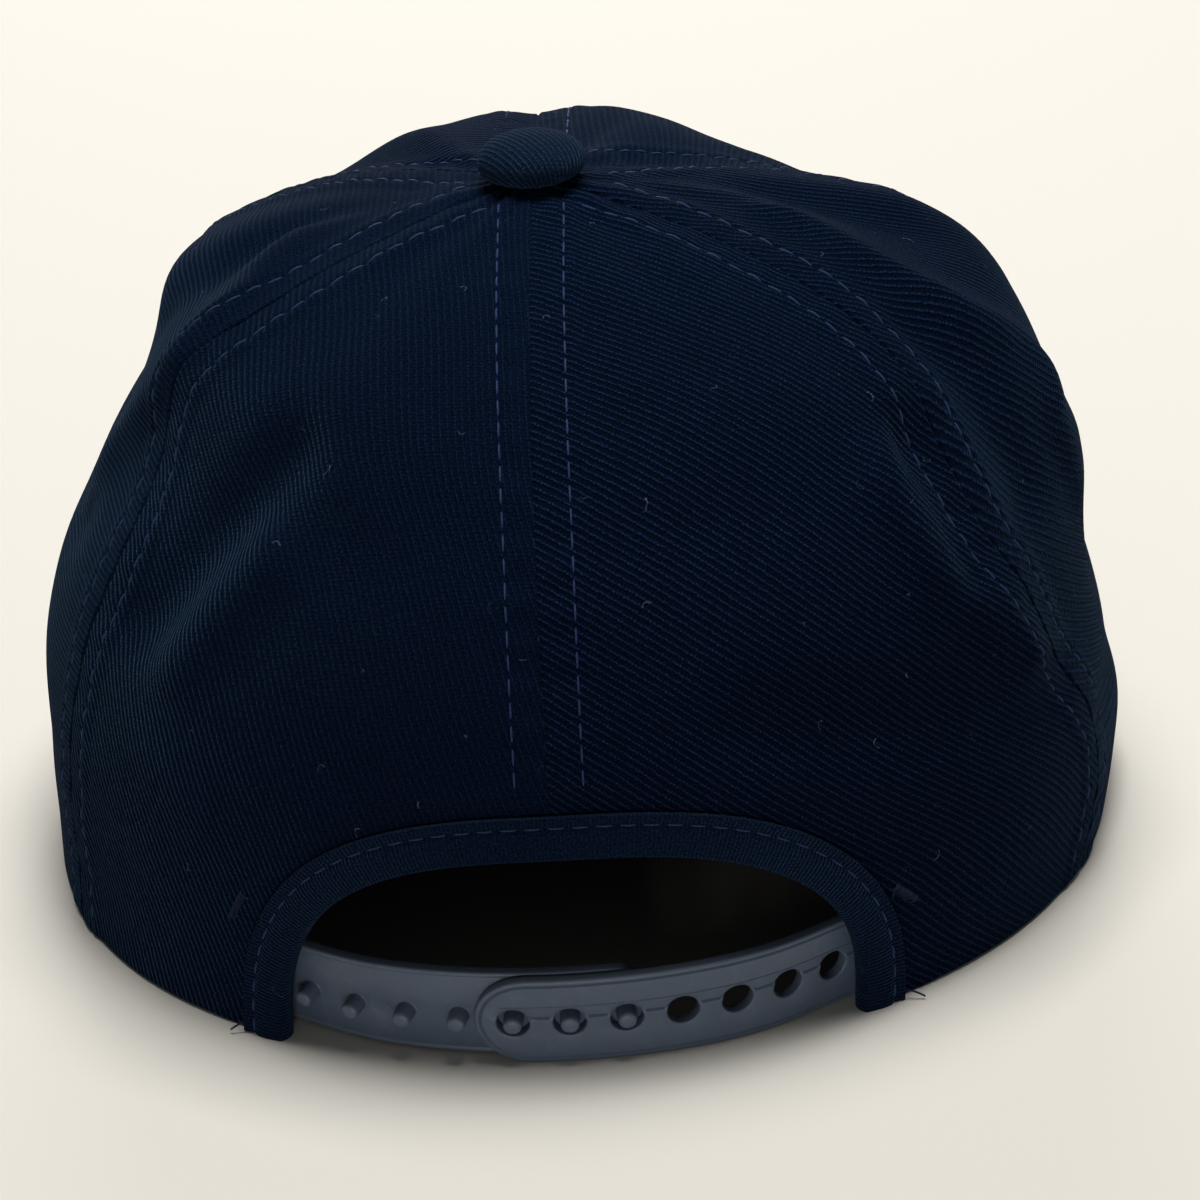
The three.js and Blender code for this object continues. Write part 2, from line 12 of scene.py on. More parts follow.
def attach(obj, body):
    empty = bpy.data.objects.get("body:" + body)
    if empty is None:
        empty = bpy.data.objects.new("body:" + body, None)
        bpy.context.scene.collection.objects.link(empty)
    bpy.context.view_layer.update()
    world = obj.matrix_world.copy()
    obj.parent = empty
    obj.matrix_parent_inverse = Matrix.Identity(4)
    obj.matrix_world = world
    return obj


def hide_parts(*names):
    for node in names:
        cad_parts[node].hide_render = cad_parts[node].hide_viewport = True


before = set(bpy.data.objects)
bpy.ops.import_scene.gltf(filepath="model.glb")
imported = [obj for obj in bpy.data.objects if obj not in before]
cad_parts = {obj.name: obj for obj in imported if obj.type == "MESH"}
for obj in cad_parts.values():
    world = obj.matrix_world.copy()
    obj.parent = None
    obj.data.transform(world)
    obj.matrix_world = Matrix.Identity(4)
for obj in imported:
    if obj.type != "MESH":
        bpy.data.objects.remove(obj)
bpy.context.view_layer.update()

bl_info = {
    "name": "Snap Cap",
    "version": (1, 0, 0),
    "blender": (4, 5, 0),
    "location": "View3D > Sidebar > Cap",
    "description": "Builds a six-panel twill cap with a curved peak and a plastic snap strap",
    "category": "Add Mesh",
}

# Lengths below are in millimetres, as the solids were drawn, and meshes are made in metres
MM = 0.001
TAU = 2 * math.pi
UP = np.array([0.0, 0.0, 1.0])
NUDGE = 1e-3
LINE_STEPS = 241
CLOTH_MAP = "cloth"


def table(columns, *rows):
    """Rows of numbers under named columns"""
    return {name: np.array(values, float) for name, values in zip(columns.split(), zip(*rows))}


# Crown: height of each section and its reach from the button's axis to the four sides
SECTIONS = table(
    "z left right back front",
    (0.0, 92.0, 95.0, 98.0, 97.0),
    (21.0, 91.8, 98.3, 100.5, 95.5),
    (43.0, 90.5, 94.2, 101.0, 93.5),
    (65.0, 82.3, 91.0, 97.5, 89.0),
    (85.0, 70.5, 83.8, 88.5, 80.5),
    (101.0, 61.8, 69.2, 71.0, 65.0),
    (112.5, 37.6, 38.6, 42.6, 40.6),
    (118.0, 5.0, 5.0, 5.0, 5.0),
)
FRONT_LIFT = 17.0
FRONT_LIFT_RISE = 0.6
CORNER = 0.009
CORNER_RISE = 0.3
RIM_HEIGHT_PER_RISE = 147.0

# The top of the crown lies behind the middle of the rim and is drawn up
TOP_SHIFT = np.array([0.8, -18.8, 6.9])
TOP_SHIFT_RISE = 0.5

# Seams: degrees from the back at equal steps of rise
SEAM_ANGLES = table(
    "rear_right rear_left front",
    (66.0, 66.0, 124.0),
    (69.0, 66.0, 124.0),
    (61.0, 65.0, 123.0),
    (54.5, 63.5, 121.0),
    (54.5, 65.0, 120.5),
    (57.5, 59.5, 120.5),
    (60.0, 60.0, 120.0),
)

# Folds: from one place on the crown to another, with spread and height (a valley is negative)
FOLDS = table(
    "from_deg from_rise to_deg to_rise spread height",
    (86, 0.86, 75, 0.785, 6, 1.6),
    (72, 0.7, 83, 0.47, 6, 2.2),
    (63, 0.7, 65, 0.48, 5, -2.2),
    (92, 0.82, 95, 0.66, 9, -2),
    (106, 0.72, 98, 0.64, 12, 3.8),
    (98, 0.57, 94, 0.53, 7, -1.4),
    (88, 0.405, 100, 0.405, 6, 1),
    (88, 0.33, 106, 0.33, 6, -1.7),
    (92, 0.25, 98, 0.25, 6, -0.6),
    (74, 0.17, 100, 0.17, 6, -1.8),
    (43, 0.58, 58, 0.32, 5, 2.4),
    (50, 0.6, 52, 0.45, 5, -2.4),
    (21, 0.375, 42, 0.32, 5, -1.8),
    (-38, 0.66, -54, 0.43, 6, -2.2),
    (-38, 0.54, -47, 0.4, 5, 1.6),
    (-80, 0.84, -70, 0.775, 6, 1.6),
    (-69, 0.7, -85, 0.48, 6, 2),
    (-86, 0.81, -88, 0.68, 7, -1.8),
    (-114, 0.66, -100, 0.74, 12, 2.1),
    (-102, 0.6, -98, 0.53, 7, -0.8),
    (-90, 0.47, -84, 0.45, 6, -2.8),
    (122, 0.88, 130, 0.72, 10, -2.5),
    (232, 0.9, 224, 0.74, 9, -0.9),
    (150, 0.86, 169, 0.84, 10, 2.8),
    (191, 0.84, 212, 0.86, 10, 2.5),
    (144, 0.78, 140, 0.71, 8, -1.3),
    (112, 0.77, 110, 0.72, 8, -2.4),
)

# Creases finer than the folds: spread and height, then the places each runs through, in degrees and rise
CREASES = (
    (
        2.6,
        1.0,
        *((80, 0.84), (72, 0.78), (71, 0.73), (73, 0.67)),
        *((80, 0.61), (82, 0.55), (78, 0.51), (79, 0.41)),
    ),
    (2.4, 0.9, (44, 0.62), (42, 0.55), (45, 0.476), (49, 0.42), (57, 0.33)),
    (3.0, -0.8, (50, 0.59), (50, 0.45)),
    (
        3.0,
        1.0,
        *((-82, 0.84), (-71, 0.81), (-68, 0.775), (-66.5, 0.705)),
        *((-71, 0.63), (-78, 0.55), (-85, 0.444)),
    ),
    (4.5, -0.9, (-36, 0.67), (-48, 0.55), (-54, 0.43)),
    (4.0, 0.7, (-38, 0.54), (-46, 0.42)),
    (6.5, 0.7, (-16, 0.82), (-43, 0.713)),
)
FOLD_RADIUS = 80.0
FOLD_LENGTH = 165.0
FOLD_FADE_RISE = 0.08

# Cloth
WALL = 1.3
HEM_WALL = 2.4
HEM_RISE = 0.08
HEM_FROM_DEG = 38.0
HEM_FULL_DEG = 46.0
HEM_ROUND = 0.9

# Seam relief across the seam: a pressed-open allowance, the join itself and the sunk stitch rows
ALLOWANCE_HEIGHT = 0.38
ALLOWANCE_FLAT = 6.2
ALLOWANCE_END = 9.5
JOIN_DEPTH = 0.5
JOIN_SPREAD = 0.3
ROW_DIP = 0.2
ROW_DIP_SPREAD = 0.55
PUCKER_HEIGHT = 0.2
PUCKER_LENGTH = 8.0
PUCKER_WANDER = 1.7
PUCKER_WANDER_RUN = 11.0
PUCKER_AT = 3.6
PUCKER_SPREAD = 3.4
JOIN_UNEVEN = 0.3
JOIN_RUN = 6.5
JOIN_WANDER = 2.1
JOIN_WANDER_RUN = 17.0
SEAM_FADE_RISE = 0.965
ARCH_FADE = (7.0, 13.0)
ARCH_NEAR_DEG = 60.0
RIPPLE_COUNT = 14
RIPPLE_SEED = 21
RIPPLE_SHORTEST = 13.0
RIPPLE_LONGEST = 42.0

# Rear opening and its folded tape
ARCH_DEG = 30.9
ARCH_RISE = 0.266
ARCH_POWER = 2.5
ARCH_SHARE = 12 / 17
ARCH_STEPS = 90
TAPE = 0.8
TAPE_GAP = 0.5
TAPE_OUTER_WIDTH = 6.8
TAPE_INNER_WIDTH = 6.0
TAPE_ROW = 4.7
TAPE_ROW_DIP = 0.3
TAPE_ROW_SPREAD = 0.55
TAPE_PUFF = 0.3
TAPE_LIP = 0.2
TAPE_LIP_FROM = TAPE_ROW + 0.6
TAPE_LIP_FULL = TAPE_OUTER_WIDTH - 0.5
TAPE_EDGE_IN = 0.25
TAPE_EDGE_SHARE = 0.55
TAPE_STEPS = 240
TAPE_OUTER_STEPS = 22
TAPE_TURN_STEPS = 11
TAPE_INNER_STEPS = 8

# Peak
PEAK_ROOT_DEG = 120.0
PEAK_SIDE_DEG = 114.0
PEAK_MIDDLE_X = 1.5
PEAK_MIDDLE_Y = 72.0
PEAK_HALF_WIDTH = 93.5
PEAK_REACH = 94.0
PEAK_SIDE_REACH = 60.0
PEAK_POWER = 2.15
PEAK_TIP_LIFT = 9.0
PEAK_THICK = 3.4
PEAK_GAP = 0.45
PEAK_ROW_FIRST = 4.5
PEAK_ROW_STEP = 8.0
PEAK_ROW_COUNT = 7
PEAK_ROW_DIP = 0.3
PEAK_ROW_SPREAD = 0.8
PEAK_ROW_CLEAR = 2.0
PEAK_ROW_LEAST = 20
PEAK_RIB_DEG = 26.0
PEAK_COLUMNS = 150
PEAK_STITCH_STEPS = 300
PEAK_EDGE_SHARES = np.array([0.0, 0.05, 0.18, 0.4, 0.75, 1.2]) / 60
PEAK_FACE_SHARES = np.linspace(1.7 / 60, 1, 96)

# Strap
STRAP_MIDDLE_Y = -15.8
STRAP_RADIUS = 78.0
STRAP_HEIGHT = 16.6
STRAP_THICK = 2.1
STRAP_LEAN_DEG = 10.0
STRAP_TUCK_LEFT = 1.4
STRAP_TUCK_RIGHT = 2.1
STRAP_TUCK_DEG = 35.0
STRAP_TUCK_SPREAD_DEG = 9.0
STRAP_FLOOR_CLEAR = 0.1
STRAP_GAP = 0.3
SNAP_STEP_DEG = 6.42
SNAP_MIDDLE_DEG = 0.55
SNAP_HEIGHT = 8.0
SNAP_COUNT = 7
PEG_FIRST_STEP = -5
HOLE_FIRST_STEP = -1
HOLE_RADIUS = 2.55
STRAP_END_STEPS = 0.68
STRAP_HIDDEN_DEG = 44.5
STRAP_SHARP_DEG = 38.0
STRAP_COLUMN = 1.6
STRAP_TIP_STEPS = 40
EDGE_BENDS = (0.0, 0.06, 0.22, 0.5, 1.0)
BORDER_AT = 0.95
BORDER_WIDTH = 0.3
PEG_BORDER_SHARE = 0.5
PEG_SIDES = 28
MOULD_MARK_STEP = -3.5
MOULD_MARK_DROP = 0.4
MOULD_MARK_RADIUS = 1.75
MOULD_MARK_DEPTH = 0.14
MOULD_MARK_EDGE = 0.25
MOULD_MARK_RINGS = (-0.3, -0.12, 0.0)

# Holes and the sunk band above them, in heights over the middle of the holes
HOLE_ROUND = 0.35
HOLE_BENDS = (0.0, 0.1, 0.35, 1.0)
HOLE_SIDES = 36
HOLE_BACK_SHARE = 0.5
HOLE_CLEAR = 0.1
HOLE_SLACK = 0.02
BAND_LOW = 1.05
BAND_LOW_EDGE = 0.14
BAND_TOP = 3.3
BAND_TOP_EDGE = 0.25
BAND_TOP_FADE = (0.9, 0.6)
BAND_DEPTH = 0.4
BAND_LINE = 0.16
BAND_STEP = 0.55
BAND_START = 1.2
BAND_START_FADE = 1.6

# A peg's outline: where it lies on the flat strap, its real radius there and how far it stands out
PEG = table(
    "flat radius out",
    (0.0, 0.0, 3.5),
    (0.6, 0.8, 3.46),
    (0.95, 1.15, 3.36),
    (1.15, 1.34, 3.2),
    (1.28, 1.43, 2.98),
    (1.36, 1.46, 2.75),
    (1.5, 1.5, 1.8),
    (1.66, 1.54, 0.5),
    (1.76, 1.58, 0.16),
    (1.9, 1.72, 0.03),
    (2.1, 2.1, 0.0),
)

# Button: radius and height as shares of its own
BUTTON_RADIUS = 9.1
BUTTON_HEIGHT = 7.2
BUTTON_STEM_RADIUS = 4.2
BUTTON_STEM_DEPTH = 2.6
BUTTON_SEAT = 118.35
BUTTON_SIDES = 120
BUTTON_ROWS = 48
BUTTON_PLEATS = 17
BUTTON_PLEAT_HEIGHT = 0.13
BUTTON_PLEAT_WANDER = 1.4
BUTTON_PLEAT_WANDERS = 3
BUTTON_POLE = 0.004
BUTTON_STEM_CLOTH = np.array([6.0, 4.0])
BUTTON_RIB_DEG = -34.0
BUTTON_FORM = table(
    "radius height",
    (0.74, 0.0),
    (0.92, 0.12),
    (1.0, 0.33),
    (0.97, 0.54),
    (0.85, 0.73),
    (0.62, 0.89),
    (0.32, 0.97),
    (0.0, 1.0),
)

# Panels: the seams on each side, the twill's heading half-way up, its turn from rim to button and its
# painted rib light: how strongly painted highlight and shade show on its ribs, for how the light catches
# ribs at each panel's slant
PANELS = {
    "panel_front_left": ("front_centre_left", "front_left", -48.0, 0.0, 0.3),
    "panel_front_right": ("front_right", "front_centre_right", -29.0, 0.0, 0.4),
    "panel_side_left": ("front_left", "rear_left", -92.0, 0.0, 0.2),
    "panel_side_right": ("rear_right", "front_right", -52.0, 100.0, 0.9),
    "panel_back_left": ("rear_left", "rear_centre", -30.0, -20.0, 0.4),
    "panel_back_right": ("rear_centre", "rear_right", -46.0, 13.0, 1.0),
}
SEAM_NAMES = ("rear_centre", "rear_right", "rear_left", "front_right", "front_left", "front_centre_right")
PANEL_COLUMNS = 122
PANEL_ROWS = 116
PANEL_FIRST_ROW = 0.015
HEM_ROWS = (0.0, 0.0008, 0.002, 0.0038, 0.0062, 0.0095)
EDGE_CROWDING = 0.86
CUT_FIT_DEGREE = 4

# Topstitching
STITCH_SEED = 5
STITCH_RINGS = 6
STITCH_SIDES = 6
STITCH_ARCH = 1.5
STITCH_ARCH_POWER = 0.6
STITCH_SUNK = 0.95
STITCH_END = 0.72
SEAM_ROW_STEPS = 420
SEAM_ROW_LOW = 0.012
SEAM_ROW_TOP = 0.978
SEAM_ROW_OVER_ARCH = 0.052

# Bar tacks beside the opening, in degrees and rise, with the lean of the patch
TACKS = table("angle_deg rise lean_deg", (-35.5, 0.16, 58.0), (35.0, 0.135, -42.0))
TACK_SEED = 11
# Painted shade: the tacks' thread is darkened to this share of the topstitching thread's colour
TACK_PAINTED_SHADE = 0.4
TACK_STITCHES = 12
TACK_STEP = 0.5
TACK_JITTER = 0.08
TACK_LENGTH = 1.3
TACK_LENGTH_RANGE = (0.85, 1.12)
TACK_SLANT_RANGE = (0.2, 0.5)
TACK_ARCH = 0.5
TACK_SUNK = 0.12
TACK_ENDS = 3
TACK_END_SWING = 0.9
TACK_END_RANGE = (0.4, 1.5)
TACK_END_CURL = 1.4
TACK_END_LIFT = 0.45
TACK_END_WIDTH = 0.8
LOOSE_ENDS = table("angle_deg rise reach", (34.6, 0.012, 3.6), (-34.4, 0.014, 3.0))
LOOSE_END_OUT = (0.6, 0.7)
LOOSE_END_SAG = 1.2
LOOSE_END_WIDTH = 0.9
THREAD_STEPS = 9
THREAD_SIDES = 7
THREAD_ASKEW = np.array([0.31, 0.17, 0.93])

# Finishes: noise scales are for each millimetre on cloth and for each metre elsewhere
LINT_SPACING = 13.0
LINT_SHOW = 0.2
LINT_BEND = (1.7, 1.7, 0.0)
LINT_BEND_SCALE = 0.8
LINT_CURL_LEAST = 0.2
LINT_CURL_MORE = 0.8
LINT_FIBRE = (0.03, 0.11)
LINT_CURL_GAP = (-0.1, 0.3)
LINT_CHANCE = (0.5, 1.0)
DRIFT_SCALE = 0.035
SLUB_SCALE = 1.1
FUZZ_SCALE = 2.6
FADING_SCALE = 0.016
RIB_UNEVEN = 0.5
RIB_CREST = 5.0
RIB_SHOW = 0.52
RIB_HEIGHT = 0.6
FLOAT_LENGTH = 0.68
FLOAT_STAGGER = 0.5
FLOAT_UNEVEN = 1.1
FLOAT_SHOW = 0.6
FLOAT_HEIGHT = 0.14
FUZZ_HEIGHT = 0.3
FUZZ_BAND = (0.3, 0.7)
FUZZ_LEAST = 0.4
FUZZ_MORE = 1.2
FADING_LEAST = 0.6
FADING_MORE = 0.8
# Ground between the ribs, darkened as painted shade where a piece's painted rib light is stronger
PLAIN_TONE = 0.18
PLAIN_TONE_LOSS = 0.09
THREAD_FUZZ_SCALE = 2600.0
THREAD_TONES = (0.55, 1.35)
THREAD_FUZZ_DEPTH = 0.00006
GRAIN_SCALE = 2400.0
GRAIN_SHARE = 0.35
GRAIN_BUMP_SHARE = 0.7
GRAIN_DEPTH = 0.00005
FLOW_SCALE = 90.0
RUBBED_SCALE = 420.0
RUBBED_BAND = (0.52, 0.72)
RUBBED_SHOW = 0.16
RUBBED_TONE = 1.7
PLASTIC_TONES = (0.86, 1.14)
FLOOR_TOOTH_SCALE = 700.0
FLOOR_TONE = 0.985

# Camera, fitted to the pegs, the button, the seams and the outline
CAMERA_YAW_DEG = 2.0
CAMERA_RISE_DEG = 24.6
CAMERA_ROLL_DEG = 3.8
CAMERA_DISTANCE = 968.0
CAMERA_AIM = (6.776, 0.0, 37.752)
CAMERA_FOCAL_PIXELS = 5463.0
IMAGE_PIXELS = 1200.0
SENSOR_WIDTH = 36.0
CLIP_START = 0.05

# Stage, in metres: place, aim and size of each light, and the setting that holds its power
LAMPS = {
    "top_light": ((0.1, 0.15, 1.6), (0.0, 0.0, 0.0), 0.9, "top_power"),
    "back_light": ((-0.1, 1.5, 0.42), (0.0, 0.0, 0.1), 0.7, "back_power"),
    "fill_light": ((-0.05, -1.3, 0.03), (0.0, 0.0, 0.03), 0.35, "fill_power"),
}
LAMP_COLOUR = (1.0, 0.985, 0.96)
SKY_COLOUR = (1.0, 0.985, 0.955, 1.0)
FLOOR_HALF = 3.0


def clamp(value):
    """A value held between 0 and 1"""
    return np.clip(value, 0.0, 1.0)


def smooth(value, low, high):
    """An eased step from 0 at low to 1 at high"""
    t = clamp((value - low) / (high - low))
    return t * t * (3 - 2 * t)


def bell(value, spread):
    """A soft bump of height 1 round zero"""
    return np.exp(-((value / spread) ** 2))


def mix(a, b, share):
    """A share of the way from a to b"""
    return a + (b - a) * share


def rounded(value, power):
    """A power of a sine or cosine that keeps its sign, for rounded-square outlines"""
    return np.sign(value) * np.abs(value) ** (2 / power)


def unit(vectors):
    """Vectors at length one"""
    return vectors / np.maximum(np.linalg.norm(vectors, axis=-1, keepdims=True), 1e-12)


def wrapped(angle):
    """An angle brought within half a turn of zero"""
    return np.arctan2(np.sin(angle), np.cos(angle))


def length_run(points):
    """Length run along a line of points, from its start"""
    return np.concatenate([[0.0], np.cumsum(np.linalg.norm(np.diff(points, axis=0), axis=-1))])


def curve_through(values, at):
    """Smooth curve through evenly spaced values, read at shares of its length"""
    last = len(values) - 1
    place = clamp(np.asarray(at, float)) * last
    i = np.minimum(place.astype(int), last - 1)
    f = place - i
    b = values[i]
    c = values[i + 1]
    a = np.where(i > 0, values[np.maximum(i - 1, 0)], 2 * b - c)
    d = np.where(i < last - 1, values[np.minimum(i + 2, last)], 2 * c - b)
    return b + 0.5 * f * (c - a + f * (2 * a - 5 * b + 4 * c - d + f * (3 * (b - c) + d - a)))


def plain_crown(angle, rise):
    """The crown without its folds: angle from the back, rise from rim (0) to button (1)"""
    s = np.sin(angle)
    c = np.cos(angle)
    width = np.where(s >= 0, curve_through(SECTIONS["right"], rise), curve_through(SECTIONS["left"], rise))
    reach = np.where(c >= 0, curve_through(SECTIONS["back"], rise), curve_through(SECTIONS["front"], rise))
    low = clamp(1 - rise / CORNER_RISE) ** 2
    square = np.where(c > 0, 1 + CORNER * (1 - np.cos(4 * angle)) * low, 1.0)
    lift = np.where(c < 0, FRONT_LIFT * c * c * clamp(1 - rise / FRONT_LIFT_RISE) ** 2, 0.0)
    z = curve_through(SECTIONS["z"], rise) + lift
    shift = clamp((rise - TOP_SHIFT_RISE) / (1 - TOP_SHIFT_RISE)) ** 2
    return np.stack([width * s * square, -reach * c * square, z], axis=-1) + shift[..., None] * TOP_SHIFT


def off_line(angle, rise, start, end):
    """Squared distance, on the crown laid out flat, from a line between two places in degrees and rise"""
    x = wrapped(angle - math.radians(start[0])) * FOLD_RADIUS
    y = (rise - start[1]) * FOLD_LENGTH
    run_x = math.radians(end[0] - start[0]) * FOLD_RADIUS
    run_y = (end[1] - start[1]) * FOLD_LENGTH
    along = clamp((x * run_x + y * run_y) / (run_x * run_x + run_y * run_y))
    return (x - along * run_x) ** 2 + (y - along * run_y) ** 2


def fold_height(angle, rise):
    """Height of the folds at a place on the crown"""
    total = np.zeros(np.broadcast(angle, rise).shape)
    for from_deg, from_rise, to_deg, to_rise, spread, height in zip(*FOLDS.values()):
        off = off_line(angle, rise, (from_deg, from_rise), (to_deg, to_rise))
        total += height * np.exp(-off / (2 * spread**2))
    return total * clamp(rise / FOLD_FADE_RISE) * clamp((1 - rise) / FOLD_FADE_RISE)


def crease_height(angle, rise):
    """Height of the fine creases at a place on the crown"""
    total = np.zeros(np.broadcast(angle, rise).shape)
    for spread, height, *places in CREASES:
        off = np.min([off_line(angle, rise, a, b) for a, b in zip(places, places[1:])], axis=0)
        total += height * np.exp(-off / (2 * spread**2))
    return total


def by_angle(surface, angle, rise):
    """How far a surface moves for each radian"""
    return (surface(angle + NUDGE, rise) - surface(angle - NUDGE, rise)) / (2 * NUDGE)


def outward(surface, angle, rise):
    """Outward normal of a surface given by angle and rise"""
    up = surface(angle, np.minimum(rise + NUDGE, 1)) - surface(angle, np.maximum(rise - NUDGE, 0))
    return unit(np.cross(by_angle(surface, angle, rise), up))


def crown(angle, rise):
    """The crown with its folds"""
    folds = fold_height(angle, rise)[..., None]
    return plain_crown(angle, rise) + outward(plain_crown, angle, rise) * folds


def wall_normal(angle, rise):
    """Outward normal of the cloth, turned level at the rim"""
    normal = outward(crown, angle, rise)
    normal[..., 2] *= clamp(rise / FOLD_FADE_RISE)
    return unit(normal)


def wall_at(angle, rise):
    """Thickness of the cloth, with the hem along the rim"""
    off = np.abs(np.degrees(wrapped(angle)))
    low = 1 - smooth(rise, 0, HEM_RISE)
    return WALL + (HEM_WALL - WALL) * low * smooth(off, HEM_FROM_DEG, HEM_FULL_DEG)


def offset_crown(angle, rise, depth):
    """A point outside (+) or inside (-) the plain cloth face"""
    return crown(angle, rise) + wall_normal(angle, rise) * np.asarray(depth)[..., None]


def seam_angle(name, rise):
    """Angle of a seam at a rise"""
    rise = np.asarray(rise, float)
    if name == "rear_centre":
        return np.zeros(rise.shape)
    if name.startswith("front_centre"):
        return np.full(rise.shape, math.pi if name.endswith("right") else -math.pi)
    column = "front" if name.startswith("front") else name
    turn = np.radians(curve_through(SEAM_ANGLES[column], rise))
    return turn if name.endswith("right") else -turn


def seam_line(name):
    """A seam's angle, the cloth's width for each radian across it and the length run from the rim"""
    rise = np.linspace(0, 1, LINE_STEPS)
    angle = seam_angle(name, rise)
    per_angle = np.linalg.norm(by_angle(crown, angle, rise), axis=-1)
    run = length_run(crown(angle, rise))
    slope = np.gradient(angle, rise) * per_angle / np.maximum(np.gradient(run, rise), 1e-6)
    return {"rise": rise, "angle": angle, "width": per_angle / np.sqrt(1 + slope**2), "run": run}


SEAM_LINES = {name: seam_line(name) for name in SEAM_NAMES}


def seam_place(name, angle, rise):
    """Signed distance from a seam and the length run along it"""
    line = SEAM_LINES[name]
    turn = wrapped(angle - np.interp(rise, line["rise"], line["angle"]))
    return turn * np.interp(rise, line["rise"], line["width"]), np.interp(rise, line["rise"], line["run"])


def arch_edge(fraction):
    """The cloth edge of the rear opening, from its top (0) down to the rim (1)"""
    turn = np.asarray(fraction, float) * math.pi / 2
    angle = math.radians(ARCH_DEG) * rounded(np.sin(turn), ARCH_POWER)
    return angle, ARCH_RISE * rounded(np.maximum(np.cos(turn), 0), ARCH_POWER)


ARCH_POINTS = crown(*arch_edge(np.linspace(0, 1, ARCH_STEPS)))


def from_arch(angle, rise):
    """Distance from the opening's edge, for places on the back of the crown"""
    points = crown(np.abs(angle), rise).reshape(-1, 3)
    nearest = np.full(len(points), np.inf)
    for spot in ARCH_POINTS:
        nearest = np.minimum(nearest, np.linalg.norm(points - spot, axis=1))
    return nearest.reshape(np.broadcast(angle, rise).shape)


def ripples():
    """Length, direction and phase of each slow ripple in the cloth"""
    draw = np.random.default_rng(RIPPLE_SEED)
    length = draw.uniform(RIPPLE_SHORTEST, RIPPLE_LONGEST, RIPPLE_COUNT)
    heading = draw.uniform(0, TAU, RIPPLE_COUNT)
    phase = draw.uniform(0, TAU, RIPPLE_COUNT)
    return list(zip(length, heading, phase))


RIPPLES = ripples()


def ripple_height(angle, rise):
    """Slow unevenness of the cloth, of height about 1"""
    x = angle * FOLD_RADIUS
    y = rise * FOLD_LENGTH
    total = 0.0
    for length, heading, phase in RIPPLES:
        along = x * math.cos(heading) + y * math.sin(heading)
        total = total + np.sin(TAU * along / length + phase) * length / RIPPLE_LONGEST
    return total / math.sqrt(RIPPLE_COUNT)


def seam_height(angle, rise, row_offset):
    """Relief of the seams: open allowances, joins, sunk stitch rows and puckers"""
    ridge = np.zeros(np.broadcast(angle, rise).shape)
    sunk = np.zeros(ridge.shape)
    for name in SEAM_NAMES:
        off, run = seam_place(name, angle, rise)
        far = np.abs(off)
        wander = PUCKER_WANDER * np.sin(run / PUCKER_WANDER_RUN)
        wave = np.sin(TAU * run / PUCKER_LENGTH + wander + np.sign(off))
        pucker = PUCKER_HEIGHT * wave * bell(far - PUCKER_AT, PUCKER_SPREAD)
        ridge = np.maximum(ridge, ALLOWANCE_HEIGHT * (1 - smooth(far, ALLOWANCE_FLAT, ALLOWANCE_END)))
        uneven = np.sin(run / JOIN_RUN + JOIN_WANDER * np.sin(run / JOIN_WANDER_RUN))
        join = JOIN_DEPTH * (1 - JOIN_UNEVEN + JOIN_UNEVEN * uneven)
        sunk += pucker - join * bell(far, JOIN_SPREAD) - ROW_DIP * bell(far - row_offset, ROW_DIP_SPREAD)
    top = 1 - smooth(rise, SEAM_FADE_RISE, 1.0)
    return (ridge + sunk) * top


def cloth_relief(angle, rise, settings):
    """All relief finer than the folds"""
    calm = clamp(rise / FOLD_FADE_RISE)
    relief = seam_height(angle, rise, settings.row_offset / MM)
    relief = relief + ripple_height(angle, rise) * calm * settings.ripple / MM + crease_height(angle, rise)
    at_back = np.abs(wrapped(angle)) < math.radians(ARCH_NEAR_DEG)
    near_arch = np.where(at_back, smooth(from_arch(angle, rise), *ARCH_FADE), 1.0)
    return relief * near_arch


def dressed(angle, rise, settings):
    """The outer face of the cloth with all its relief"""
    return crown(angle, rise) + wall_normal(angle, rise) * cloth_relief(angle, rise, settings)[..., None]


def crowded(count):
    """Shares from 0 to 1 that crowd towards both ends"""
    t = np.linspace(0, 1, count)
    return t - EDGE_CROWDING * np.sin(TAU * t) / TAU


def row_shares():
    """Shares from rim to button, with close rows for the rounded hem"""
    return np.concatenate([HEM_ROWS, np.linspace(PANEL_FIRST_ROW, 1, PANEL_ROWS)])


def panel_places(name):
    """Angles and rises of a panel's grid"""
    low, high = PANELS[name][:2]
    share = crowded(PANEL_COLUMNS)[None, :]
    rows = row_shares()[:, None]
    if "back" not in name:
        rise = np.broadcast_to(rows, (rows.size, share.size)).copy()
        return mix(seam_angle(low, rise), seam_angle(high, rise), share), rise
    side = "rear_right" if name.endswith("right") else "rear_left"
    arch_angle, arch_rise = arch_edge(np.minimum(share / ARCH_SHARE, 1))
    rim_seam = abs(float(seam_angle(side, 0.0)))
    rim_angle = mix(math.radians(ARCH_DEG), rim_seam, (share - ARCH_SHARE) / (1 - ARCH_SHARE))
    on_arch = share <= ARCH_SHARE
    low_angle = np.where(on_arch, arch_angle, rim_angle)
    low_rise = np.where(on_arch, arch_rise, 0.0)
    low_share = low_angle / np.abs(seam_angle(side, low_rise))
    rise = mix(low_rise, 1.0, rows)
    angle = mix(low_share, share, smooth(rows, 0, 1)) * np.abs(seam_angle(side, rise))
    if side == "rear_right":
        return angle, rise
    return -angle[:, ::-1], rise[:, ::-1]


